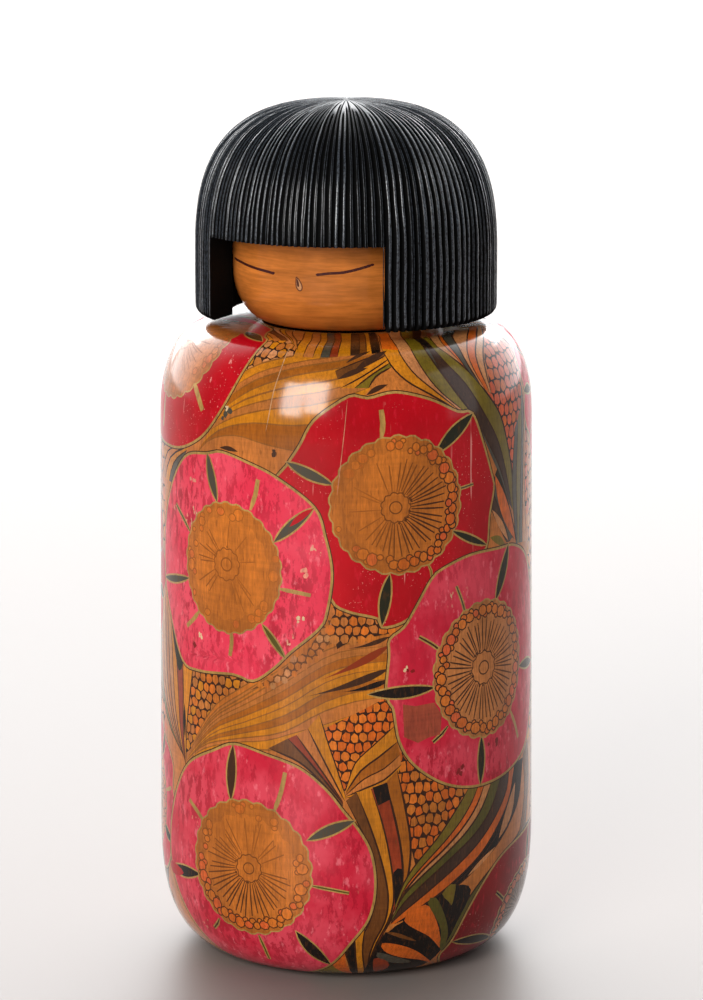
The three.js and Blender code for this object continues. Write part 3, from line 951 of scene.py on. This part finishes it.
def paint_body():
    skin = body_skin()
    art = Painting(skin.girth, skin.s[0], skin.s[-1])
    back_leaves(art)
    front_leaves(art)
    back_blooms(art)
    front_blooms(art)
    wear(art)
    rim = skin.s[np.argmax(skin.z >= BODY_HEIGHT - 0.01)]
    art.cover(rim + PLAIN_FROM, skin.s[-1], TAN)
    materials = [stained_wood(), pink_paint(), crimson_paint(), burned_line()]
    return painted_mesh("painted_body", art, skin, BODY_PITCH, PAINT_TURN, materials)


def paint_face():
    """The head core, with two closed eyes and a small nose drawn on its front, the nose with a painted
    highlight.
    """
    skin = core_skin()
    art = Painting(skin.girth, skin.s[0], skin.s[-1])
    art.cover(skin.s[0], skin.s[-1], FACE_WOOD)
    for path in ([(-9.7, 27.1), (-13, 27.5), (-20, 28.1), (-28, 28.9), (-34.5, 29.3)],
                 [(7.5, 27.7), (11, 28.2), (16, 28.6), (21, 29.7), (26, 31.1)]):
        art.stroke(smooth(path, 1.2), 0.95, EYE_LINE, LINE, (1.2, 0.7))
        x, y = path[0]
        blot = smooth([(x - 0.9, y), (x, y + 0.55), (x + 0.9, y + 0.2), (x, y - 0.55)], 0.5, True)
        art.add(blot, LINE, EYE_LINE)
        art.add(ring(path[-1], (0.7, 0.42), 0, 0, 9), LINE, EYE_LINE)
    nose = [(-0.4, 26.7), (0.9, 25.7), (1.9, 23.7), (1.7, 22.1), (0.5, 21.6), (-0.6, 22.9), (-0.7, 25)]
    nose = smooth(nose, 0.5, True)
    art.add(nose, LINE, blend(EYE_LINE, FACE_WOOD, 0.15))
    # painted highlight: a pale fill inside the nose's dark outline; the dark drop drawn next covers its left
    # part, so the pale shows on its right
    art.add(grow(nose, -0.45), STAIN, blend(FACE_WOOD, CREAM, 0.4))
    ridge = smooth([(-0.1, 26.0), (0.5, 24.9), (0.6, 23.2), (0, 23.2), (-0.2, 24.8)], 0.5, True)
    art.add(ridge, LINE, EYE_LINE)
    return painted_mesh("painted_face", art, skin, FACE_PITCH, 0, [face_wood(), burned_line()])


# ---- the hair ----

RIBS = 135
GROOVE_END, RIB_START, RIB_END = 0.26, 0.41, 0.84   # shares of the way to the next groove
SPLIT_RIBS = 0.45                   # share of the ribs that have a shallow cut along their crest
CARVED_EVERYWHERE = 0.03            # taken off the crests too, to stay inside the CAD's surface
GROOVE_DEPTH = 1.5
GROOVE_FLOOR = 0.14                 # share of that depth left at the crown
FULL_DEPTH_RADIUS = 18              # the carving has its whole depth from this radius out
RIB_SPREAD = 0.08                   # the ribs are this unevenly wide, widest at the angle below
WIDE_RIBS_AT = math.radians(68)


def hair_profile():
    """The hair's outer outline from the rim's inner edge to the crown, then its inner one from there."""
    rim = lower_corner(CAP_RADIUS, CAP_RIM_Z, RIM_ROUNDING, RIM_ROUNDING, steps=4)
    dome = corner(CAP_RADIUS, DOME_HEIGHT, DOME_POWER, 400)
    dome[:, 1] += TOTAL_HEIGHT - DOME_HEIGHT
    side = np.linspace(rim[-1], dome[0], 13)[1:-1]
    dome = resample(dome[dome[:, 0] > 0.8], 66)
    outer = np.vstack([(CAVITY_RADIUS, CAP_RIM_Z), rim, side, dome])
    ceiling = CORE_TOP + BORE_PLAY
    bend = upper_corner(CAVITY_RADIUS, ceiling, CROWN_ROUNDING, CROWN_ROUNDING, steps=4)
    inner = np.vstack([bend, (8, ceiling)])
    return outer, inner


def wander(rng, count, rows, step):
    """Slow random curves, one for each rib, with a knot every `step` rows."""
    knots = rng.uniform(-1, 1, (count, rows // step + 3))
    at = np.arange(rows) / step
    k = at.astype(int)
    t = at - k
    t = t * t * (3 - 2 * t)
    return knots[:, k] * (1 - t) + knots[:, k + 1] * t


def carved_angles_and_depths(outer):
    """For every row and column of the hair's grid: where the carving puts it, and how deep.

    A rib has seven columns: a groove's bottom and its far side, then the rib's near edge, two
    crests with a shallower split between them, and its far edge."""
    rng = np.random.default_rng(11)
    rows = len(outer)
    radius = outer[:, 0]
    pitch = TURN / RIBS
    groove = np.arange(RIBS)[:, None] + rng.uniform(-0.13, 0.13, (RIBS, 1))
    groove = groove + 0.1 * wander(rng, RIBS, rows, 9) + 0.04 * wander(rng, RIBS, rows, 5)
    following = np.roll(groove, -1, axis=0) + RIBS * (np.arange(RIBS) == RIBS - 1)[:, None]
    rise = RIB_START + rng.uniform(-0.06, 0.05, (RIBS, 1)) + 0.03 * wander(rng, RIBS, rows, 4)
    fall = RIB_END + rng.uniform(-0.06, 0.04, (RIBS, 1)) + 0.03 * wander(rng, RIBS, rows, 4)
    is_split = rng.random((RIBS, 1)) < SPLIT_RIBS
    split = np.where(is_split, rng.uniform(0.3, 0.65, (RIBS, 1)), rng.uniform(0.0, 0.06, (RIBS, 1)))
    split = (split + 0.05 * wander(rng, RIBS, rows, 3)).clip(0)
    zero = 0 * rise
    shares = np.stack([zero, GROOVE_END + zero, rise, rise + 0.22 * (fall - rise),
                       rise + 0.52 * (fall - rise), rise + 0.82 * (fall - rise), fall], -1)
    place = groove[:, :, None] + (following - groove)[:, :, None] * shares
    sink = np.stack([1 + zero, 0.95 + zero, 0.3 + zero, 0.03 + zero, split, 0.03 + zero, 0.38 + zero], -1)

    # two grooves out of three run out on the way to the crown, and the third grows wider there
    ends = np.where(np.arange(RIBS) % 3 == 0, 1.5, rng.uniform(9, 25, RIBS))
    reach = ((radius[None, :] - ends[:, None]) / 5).clip(0, 1)
    keep = np.stack([reach, reach, (reach + 1) / 2, np.ones_like(reach), reach, np.ones_like(reach),
                     (np.roll(reach, -1, axis=0) + 1) / 2], -1)
    local = GROOVE_DEPTH * (radius / FULL_DEPTH_RADIUS).clip(GROOVE_FLOOR, 1)
    depth = sink * keep * local[None, :, None]
    widen = 0.85 * (1 - radius / 26).clip(0, 1)
    group = place / 3
    part = group - np.floor(group)
    place = 3 * (np.floor(group) + part + widen[None, :, None] * np.sin(TURN * part) / TURN)

    angle = (place * pitch).transpose(1, 0, 2).reshape(rows, -1)
    angle += RIB_SPREAD * np.sin(2 * (angle - WIDE_RIBS_AT))
    depth = depth.transpose(1, 0, 2).reshape(rows, -1)
    return angle, depth + CARVED_EVERYWHERE


def carve_hair():
    """The hair as one closed shell, carved on a grid of rows and columns, with its window cut out."""
    outer, inner = hair_profile()
    angle, depth = carved_angles_and_depths(outer)
    along = np.gradient(outer, axis=0)
    along /= np.hypot(*along.T)[:, None]
    into = np.c_[-along[:, 1], along[:, 0]]
    into[0] = (0, 1)
    fade = np.r_[0, 0.35, 0.6, 0.85, np.ones(len(outer) - 4)]
    depth = depth * fade[:, None]
    r = outer[:, :1] + into[:, :1] * depth
    z = outer[:, 1:] + into[:, 1:] * depth

    columns = angle.shape[1]
    ring_points = [np.c_[r[k] * np.sin(angle[k]), -r[k] * np.cos(angle[k]), z[k]] for k in range(len(outer))]
    even = angle[0]
    ring_points += [np.c_[ri * np.sin(even), -ri * np.cos(even), np.full(columns, zi)] for ri, zi in inner]
    points = np.vstack([*ring_points, [(0, 0, z[-1].mean() + 0.02), (0, 0, inner[-1][1])]]) * MM

    faces = []
    column = np.arange(columns)
    beside = (column + 1) % columns

    def join(lower, upper):
        a, b = lower * columns + column, lower * columns + beside
        c, d = upper * columns + beside, upper * columns + column
        faces.extend(np.c_[a, b, c, d].tolist())

    last = len(outer) - 1
    for k in range(last):
        join(k, k + 1)
    join(last + 1, 0)
    for k in range(last + 1, last + len(inner)):
        join(k + 1, k)
    top, under = len(points) - 2, len(points) - 1
    faces += np.c_[last * columns + column, last * columns + beside, np.full(columns, top)].tolist()
    end = (last + len(inner)) * columns
    faces += np.c_[end + beside, end + column, np.full(columns, under)].tolist()

    mesh = bpy.data.meshes.new("carved_hair")
    mesh.from_pydata(points.tolist(), [], faces)
    hair = bpy.data.objects.new("carved_hair", mesh)
    bpy.context.collection.objects.link(hair)
    cut_window(hair)
    mesh = hair.data
    mark_grooves(mesh)
    mesh.materials.clear()
    mesh.materials.append(carved_black())
    mesh.materials.append(cut_black())
    shade_cut_faces(mesh)
    return hair


def cut_window(hair):
    """Cuts the face's opening through the front of the hair, from the fringe down."""
    tool = bpy.data.meshes.new("window")
    bm = bmesh.new()
    bmesh.ops.create_cube(bm, size=1)
    depth = 2 * CAP_RADIUS
    height = 2 * (FRINGE_Z - CAP_RIM_Z)
    for vert in bm.verts:
        vert.co.x *= 2 * WINDOW_HALF_WIDTH * MM
        vert.co.y = (vert.co.y * depth - depth / 2 - 1) * MM
        vert.co.z = (vert.co.z * height + FRINGE_Z - height / 2) * MM
    bm.to_mesh(tool)
    bm.free()
    cutter = bpy.data.objects.new("window", tool)
    bpy.context.collection.objects.link(cutter)
    cut = hair.modifiers.new("window", "BOOLEAN")
    cut.operation = "DIFFERENCE"
    cut.solver = "EXACT"
    cut.object = cutter
    graph = bpy.context.evaluated_depsgraph_get()
    result = bpy.data.meshes.new_from_object(hair.evaluated_get(graph))
    hair.modifiers.clear()
    hair.data = result
    result.name = "carved_hair"
    bpy.data.objects.remove(cutter)


def mark_grooves(mesh):
    """Stores how far down in a groove each point is, from 0 on the ridges to 1 at the bottom."""
    points = np.zeros(len(mesh.vertices) * 3)
    mesh.vertices.foreach_get("co", points)
    x, y, z = points.reshape(-1, 3).T / MM
    radius = np.hypot(x, y)
    above = (z - TOTAL_HEIGHT + DOME_HEIGHT).clip(0)
    reach = ((radius / CAP_RADIUS) ** DOME_POWER + (above / DOME_HEIGHT) ** DOME_POWER) ** (1 / DOME_POWER)
    depth = (1 - reach) * np.hypot(radius, above)
    share = depth / (GROOVE_DEPTH * (radius / FULL_DEPTH_RADIUS).clip(GROOVE_FLOOR, 1))
    mesh.attributes.new("groove", "FLOAT", "POINT").data.foreach_set("value", share.clip(0, 1))


def shade_cut_faces(mesh):
    """Flat, matt faces where the window was cut; matt ones inside; smooth, carved ones elsewhere."""
    edge = WINDOW_HALF_WIDTH * MM
    for face in mesh.polygons:
        x, y, z = face.center
        on_side = abs(abs(x) - edge) < 2e-5 and abs(face.normal.x) > 0.9
        on_fringe = abs(z - FRINGE_Z * MM) < 2e-5 and face.normal.z < -0.9
        inside = math.hypot(x, y) < (CAVITY_RADIUS + 0.2) * MM and z < CORE_TOP * MM
        cut = y < 0 and (on_side or on_fringe)
        face.use_smooth = not cut
        face.material_index = int(cut or inside)


# ---- materials ----

class Nodes:
    """One material's node tree, with a Principled shader, object coordinates and short calls."""

    def __init__(self, name, look, roughness, coat=0.0, coat_roughness=0.1, specular=0.5):
        self.material = bpy.data.materials.new(name)
        self.material.use_nodes = True
        self.material.diffuse_color = (*look, 1)
        self.material.roughness = roughness
        self.tree = self.material.node_tree
        self.tree.nodes.clear()
        self.shader = self.add("ShaderNodeBsdfPrincipled")
        self.shader.inputs["Roughness"].default_value = roughness
        self.shader.inputs["Specular IOR Level"].default_value = specular
        self.shader.inputs["Coat Weight"].default_value = coat
        self.shader.inputs["Coat Roughness"].default_value = coat_roughness
        out = self.add("ShaderNodeOutputMaterial")
        self.tree.links.new(self.shader.outputs[0], out.inputs["Surface"])
        self.place = self.add("ShaderNodeTexCoord").outputs["Object"]

    def add(self, kind, **settings):
        node = self.tree.nodes.new(kind)
        for key, value in settings.items():
            setattr(node, key, value)
        return node

    def feed(self, node, socket, value):
        if isinstance(value, bpy.types.NodeSocket):
            self.tree.links.new(value, node.inputs[socket])
        else:
            node.inputs[socket].default_value = value

    def noise(self, scale, stretch=(1, 1, 1), detail=3.0, roughness=0.55, seed=0.0):
        """Noise with `scale` lumps per metre, scaled along each axis by the stretch."""
        mapping = self.add("ShaderNodeMapping")
        self.feed(mapping, "Vector", self.place)
        self.feed(mapping, "Scale", stretch)
        self.feed(mapping, "Location", (seed, seed * 0.7, seed * 1.3))
        node = self.add("ShaderNodeTexNoise")
        self.feed(node, "Vector", mapping.outputs[0])
        self.feed(node, "Scale", scale)
        self.feed(node, "Detail", detail)
        self.feed(node, "Roughness", roughness)
        return node.outputs[0]

    def range(self, value, low, high, to_low=0.0, to_high=1.0):
        node = self.add("ShaderNodeMapRange", interpolation_type="SMOOTHSTEP")
        for socket, number in (("Value", value), ("From Min", low), ("From Max", high),
                               ("To Min", to_low), ("To Max", to_high)):
            self.feed(node, socket, number)
        return node.outputs[0]

    def math(self, operation, a, b):
        node = self.add("ShaderNodeMath", operation=operation)
        self.feed(node, 0, a)
        self.feed(node, 1, b)
        return node.outputs[0]

    def product(self, a, b):
        return self.math("MULTIPLY", a, b)

    def mix(self, share, a, b):
        node = self.add("ShaderNodeMix", data_type="RGBA", blend_type="MIX")
        self.feed(node, 0, share)
        for socket, value in ((6, a), (7, b)):
            self.feed(node, socket, value if isinstance(value, bpy.types.NodeSocket) else (*value, 1))
        return node.outputs[2]

    def shade(self, colour, share, amount):
        """Colour times a factor from 1 - amount to 1 + amount, as share runs from 0.25 to 0.75."""
        factor = self.range(share, 0.25, 0.75, 1 - amount, 1 + amount)
        node = self.add("ShaderNodeVectorMath", operation="SCALE")
        self.feed(node, 0, colour)
        self.feed(node, "Scale", factor)
        return node.outputs[0]

    def stored(self, name):
        """The node that reads an attribute stored on the mesh."""
        return self.add("ShaderNodeAttribute", attribute_type="GEOMETRY", attribute_name=name)

    def tint(self):
        return self.stored("tint").outputs["Color"]

    def height(self):
        """How far up the doll a point is, in metres."""
        split = self.add("ShaderNodeSeparateXYZ")
        self.feed(split, 0, self.place)
        return split.outputs[2]

    def bump(self, height, depth):
        """Bump with the given depth in millimetres for a height of 1."""
        node = self.add("ShaderNodeBump")
        self.feed(node, "Distance", depth * MM)
        self.feed(node, "Height", height)
        self.feed(self.shader, "Normal", node.outputs[0])

    def finish(self, colour, roughness=None):
        self.feed(self.shader, "Base Color", colour)
        if roughness is not None:
            self.feed(self.shader, "Roughness", roughness)
        return self.material


LEVEL = (0.05, 0.05, 1)             # stretches noise into the level marks of turning


def lacquered(name, look, coat=1.0, roughness=0.42):
    """Flat colour that mirrors almost nothing itself, under a clear glossy coat."""
    return Nodes(name, look, roughness, coat, coat_roughness=0.14, specular=0.03)


def dents(nodes, depth=0.05):
    """Faint turning rings, a soft waviness and small dents under the lacquer."""
    rings = nodes.noise(900, LEVEL, 2)
    waves = nodes.noise(38, (1, 1, 0.5), 2, seed=3)
    pits = nodes.range(nodes.noise(420, (1, 1, 0.6), 1, seed=5), 0.28, 0.36)
    height = nodes.math("ADD", nodes.product(rings, 0.22), nodes.product(waves, 2.2))
    nodes.bump(nodes.math("ADD", height, nodes.product(pits, 0.25)), depth)


def stained_wood():
    """Thin translucent stain: the wood's pores, rings and blotches show through it."""
    nodes = lacquered("stained_wood", TAN)
    colour = nodes.tint()
    colour = nodes.shade(colour, nodes.noise(60, (1, 1, 0.35), 3), 0.2)
    colour = nodes.shade(colour, nodes.noise(1100, (1, 1, 0.14), 4, 0.7, seed=2), 0.24)
    colour = nodes.shade(colour, nodes.noise(800, LEVEL, 3, seed=4), 0.09)
    pores = nodes.range(nodes.noise(2200, (1, 1, 0.12), 1, seed=6), 0.30, 0.36, 1, 0)
    colour = nodes.mix(nodes.product(pores, 0.45), colour, BROWN)
    dents(nodes)
    return nodes.finish(colour, nodes.range(nodes.noise(90, detail=4, seed=8), 0.3, 0.7, 0.34, 0.52))


def pink_paint():
    """Opaque paint, brushed unevenly over the wood, with darker flecks and a few worn pale spots."""
    nodes = lacquered("pink_paint", PINK_PAINT, 0.75)
    patches = nodes.noise(48, detail=4, seed=1)
    colour = nodes.mix(nodes.range(patches, 0.36, 0.62, 0.42, 0.0), nodes.tint(), rgb(240, 96, 112))
    brushed = nodes.noise(400, (1, 1, 0.38), 5, 0.7, seed=2)
    strength = nodes.range(nodes.noise(30, detail=2, seed=3), 0.38, 0.62, 0.3, 1.0)
    dark = nodes.product(nodes.range(brushed, 0.48, 0.57), strength)
    colour = nodes.mix(nodes.product(dark, 0.8), colour, rgb(160, 8, 34))
    pale = nodes.range(nodes.noise(420, (1, 1, 0.45), 4, 0.65, seed=4), 0.58, 0.70, 0, 0.4)
    colour = nodes.mix(pale, colour, rgb(248, 136, 146))
    worn = nodes.product(nodes.range(nodes.noise(60, detail=2, seed=7), 0.60, 0.72),
                      nodes.range(nodes.noise(700, (1, 1, 0.5), 2, seed=9), 0.62, 0.67))
    colour = nodes.mix(nodes.product(worn, 0.7), colour, CREAM)
    dents(nodes, 0.06)
    return nodes.finish(colour, nodes.range(patches, 0.3, 0.7, 0.36, 0.5))


def crimson_paint():
    """Denser paint, with pale specks and fine upright scratches in places."""
    nodes = lacquered("crimson_paint", CRIMSON_PAINT, 0.7)
    patches = nodes.noise(45, detail=4, seed=2)
    colour = nodes.shade(nodes.tint(), patches, 0.2)
    colour = nodes.mix(nodes.range(nodes.noise(650, (1, 1, 0.3), 3, seed=3), 0.55, 0.75, 0, 0.45), colour,
                       rgb(214, 30, 52))
    specks = nodes.range(nodes.noise(1500, detail=1, seed=5), 0.70, 0.74)
    scratches = nodes.range(nodes.noise(500, (1, 1, 0.05), 2, seed=8), 0.70, 0.73)
    worn = nodes.product(nodes.math("MAXIMUM", specks, scratches),
                      nodes.range(nodes.noise(60, detail=2, seed=9), 0.45, 0.6))
    colour = nodes.mix(nodes.product(worn, 0.7), colour, rgb(230, 150, 140))
    dents(nodes)
    return nodes.finish(colour, nodes.range(patches, 0.3, 0.7, 0.34, 0.48))


def burned_line():
    """Burned and inked lines: rougher than the paint, and brown where they are thin."""
    nodes = lacquered("burned_line", LINE_BROWN, 0.7, 0.5)
    streaks = nodes.noise(900, (1, 1, 0.3), 3, seed=1)
    colour = nodes.mix(nodes.range(streaks, 0.5, 0.75, 0, 0.35), nodes.tint(), BROWN)
    nodes.bump(nodes.noise(800, detail=2, seed=4), 0.05)
    return nodes.finish(colour, nodes.range(streaks, 0.3, 0.7, 0.42, 0.6))


def face_wood():
    """Satin wood with fine level grain, darker and browner towards the chin."""
    nodes = lacquered("face_wood", FACE_WOOD, 0.5, 0.38)
    colour = nodes.tint()
    colour = nodes.shade(colour, nodes.noise(45, (1, 1, 1.6), 4, seed=2), 0.26)
    colour = nodes.shade(colour, nodes.noise(1000, (0.08, 0.08, 1), 4, 0.65, seed=3), 0.2)
    streaks = nodes.range(nodes.noise(520, (0.05, 0.05, 1), 3, seed=5), 0.55, 0.75)
    chin = nodes.range(nodes.height(), 0.2236, 0.243, 0.75, 0.0)
    colour = nodes.mix(nodes.product(chin, 0.55), colour, rgb(150, 78, 26))
    colour = nodes.mix(nodes.product(streaks, nodes.product(chin, 0.5)), colour, rgb(140, 72, 24))
    rings = nodes.noise(1100, LEVEL, 2, seed=7)
    nodes.bump(nodes.math("ADD", rings, nodes.product(nodes.noise(60, detail=1, seed=8), 3)), 0.02)
    return nodes.finish(colour, nodes.range(nodes.noise(140, detail=3, seed=9), 0.3, 0.7, 0.32, 0.46))


def carved_black():
    """Black paint over tool marks, faintly blue under a shiny coat on the ridges and dull in the grooves: a
    painted blue-grey sheen in specks on the ridges, and painted shade, near black, in the grooves.
    """
    nodes = Nodes("carved_black", (0.012, 0.013, 0.016), 0.5, coat_roughness=0.22, specular=0.15)
    nodes.shader.inputs["Coat IOR"].default_value = 1.8
    groove = nodes.stored("groove").outputs["Fac"]
    # painted shade: this mask takes the base colour down to near black in the grooves, where their shade
    # falls; it also makes the grooves rough
    groove_shade_and_dullness = nodes.range(groove, 0.05, 0.30)
    specks = nodes.noise(2400, (1, 1, 0.5), 3, 0.7, seed=1)
    # painted sheen: a blue-grey base colour in specks on the ridges, lighter than the black paint, standing
    # in for glints of light on them
    ridge = nodes.mix(nodes.range(specks, 0.40, 0.62), (0.003, 0.004, 0.006), (0.048, 0.060, 0.078))
    colour = nodes.mix(groove_shade_and_dullness, ridge, (0.0006, 0.0006, 0.0007))
    marks = nodes.noise(1500, (1, 1, 0.12), 2, seed=2)
    nodes.bump(nodes.math("ADD", specks, marks), 0.09)
    crown = nodes.range(nodes.height(), 0.288, 0.2995, 1, 0.35)
    shine = nodes.product(nodes.range(specks, 0.35, 0.6, 0.35, 1), crown)
    raised = nodes.range(groove, 0.05, 0.30, 1, 0)
    nodes.feed(nodes.shader, "Coat Weight", nodes.product(shine, raised))
    return nodes.finish(colour, nodes.math("MAXIMUM", nodes.range(specks, 0.3, 0.7, 0.4, 0.6), groove_shade_and_dullness))


def cut_black():
    """Matt paint on the cut faces and inside the hair, with tiny specks."""
    nodes = Nodes("cut_black", (0.002, 0.005, 0.007), 0.7, coat_roughness=0.3, specular=0.06)
    specks = nodes.noise(1800, detail=2, seed=3)
    colour = nodes.mix(nodes.range(specks, 0.35, 0.8), (0.001, 0.004, 0.006), (0.005, 0.012, 0.016))
    nodes.bump(specks, 0.06)
    return nodes.finish(colour, nodes.range(specks, 0.3, 0.7, 0.6, 0.8))


def bare_wood():
    """The peg's unfinished wood, with its grain along the peg."""
    nodes = Nodes("bare_wood", rgb(206, 166, 110), 0.62)
    grain = nodes.noise(900, (1, 1, 0.05), 4, seed=1)
    colour = nodes.mix(nodes.range(grain, 0.35, 0.7), rgb(214, 178, 122), rgb(172, 126, 74))
    colour = nodes.shade(colour, nodes.noise(50, (1, 1, 0.3), 2, seed=2), 0.12)
    nodes.bump(grain, 0.08)
    return nodes.finish(colour, nodes.range(grain, 0.3, 0.7, 0.55, 0.72))


# ---- pieces ----

for piece, node, body, slot in (
    (paint_body(), "body", "body", "painted_wood"),
    (paint_face(), "head_core", "head", "face_wood"),
    (carve_hair(), "hair_cap", "head", "black_lacquer"),
):
    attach(piece, body)
    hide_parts(node)

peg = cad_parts["neck_peg"]
peg.data.materials.clear()
peg.data.materials.append(bare_wood())


# ---- stage, light and camera ----

FLOOR_RADIUS = 30                   # metres
FLOOR_DROP = 0.0002                 # keeps the floor clear of the foot's flat face


def pale_floor():
    """A wide, plain pale disc for the doll to stand on."""
    mesh = bpy.data.meshes.new("floor")
    bm = bmesh.new()
    bmesh.ops.create_circle(bm, cap_ends=True, radius=FLOOR_RADIUS, segments=128)
    bm.to_mesh(mesh)
    bm.free()
    floor = bpy.data.objects.new("floor", mesh)
    floor.location.z = -FLOOR_DROP
    bpy.context.collection.objects.link(floor)
    material = Nodes("floor", (0.72, 0.68, 0.65), 0.5)
    mesh.materials.append(material.finish(material.shade(rgb(128, 119, 114), material.noise(3), 0.01)))


LIGHT_AIM = 0.17                    # metres up, where the lights point


def area_light(name, azimuth, elevation, distance, size, power, colour=(1, 1, 1)):
    """A soft rectangular light that looks at the doll from an azimuth and an elevation in degrees."""
    lamp = bpy.data.lights.new(name, "AREA")
    lamp.shape = "RECTANGLE"
    lamp.size, lamp.size_y = size
    lamp.energy = power
    lamp.color = colour
    light = bpy.data.objects.new(name, lamp)
    a, e = math.radians(azimuth), math.radians(elevation)
    way = Vector((math.sin(a) * math.cos(e), -math.cos(a) * math.cos(e), math.sin(e)))
    light.location = Vector((0, 0, LIGHT_AIM)) + way * distance
    light.rotation_euler = way.to_track_quat("Z", "Y").to_euler()
    light.visible_camera = False
    bpy.context.collection.objects.link(light)


def soft_world():
    """A room that is bright behind the doll and dim on the camera's side and overhead."""
    world = bpy.data.worlds.new("studio")
    world.use_nodes = True
    tree = world.node_tree
    background = tree.nodes["Background"]
    place = tree.nodes.new("ShaderNodeTexCoord")
    dot = tree.nodes.new("ShaderNodeVectorMath")
    dot.operation = "DOT_PRODUCT"
    turn = math.radians(CAMERA_AZIMUTH)
    dot.inputs[1].default_value = (-math.sin(turn), math.cos(turn), 0.1)
    tree.links.new(place.outputs["Generated"], dot.inputs[0])
    ramp = tree.nodes.new("ShaderNodeMapRange")
    ramp.interpolation_type = "SMOOTHSTEP"
    dim, bright = 0.14, 3.8
    for socket, number in (("From Min", 0.1), ("From Max", 0.95), ("To Min", dim), ("To Max", bright)):
        ramp.inputs[socket].default_value = number
    tree.links.new(dot.outputs["Value"], ramp.inputs["Value"])
    background.inputs["Color"].default_value = (0.97, 0.985, 1, 1)
    tree.links.new(ramp.outputs[0], background.inputs["Strength"])
    bpy.context.scene.world = world


def studio():
    """Two tall panes of window light in front, a weak fill at the side and a wash over the floor behind."""
    bpy.context.scene.view_settings.view_transform = "Standard"
    soft_world()
    area_light("window_left_pane", -9, 20.5, 1.6, (0.36, 0.85), 12, (1, 0.99, 0.97))
    area_light("window_right_pane", 5.5, 23.5, 1.6, (0.36, 0.85), 12, (1, 0.99, 0.97))
    area_light("side_fill", 100, 20, 1.9, (0.8, 1.4), 3, (0.9, 0.95, 1.0))
    area_light("back_wash", CAMERA_AZIMUTH + 180, 20, 4.4, (4.4, 3.2), 250)
    bpy.data.objects["back_wash"].rotation_euler = (0, 0, math.radians(CAMERA_AZIMUTH))


CAMERA_LENS = 133.7                 # mm, on a sensor 36 mm wide
CAMERA_PITCH = 12                   # degrees downwards
CAMERA_DISTANCE = 1.2789            # metres along the floor, from the doll's axis
CAMERA_ASIDE = 0.00185
CAMERA_HEIGHT = 0.4308


def photo_camera():
    """The camera, at the photo's viewing angle."""
    data = bpy.data.cameras.new("camera")
    data.lens = CAMERA_LENS
    data.sensor_width = 36
    camera = bpy.data.objects.new("camera", data)
    turn = math.radians(CAMERA_AZIMUTH)
    camera.location = (math.sin(turn) * CAMERA_DISTANCE + math.cos(turn) * CAMERA_ASIDE,
                       -math.cos(turn) * CAMERA_DISTANCE + math.sin(turn) * CAMERA_ASIDE, CAMERA_HEIGHT)
    camera.rotation_euler = (math.pi / 2 - math.radians(CAMERA_PITCH), 0, turn)
    bpy.context.collection.objects.link(camera)
    bpy.context.scene.camera = camera


pale_floor()
studio()
photo_camera()
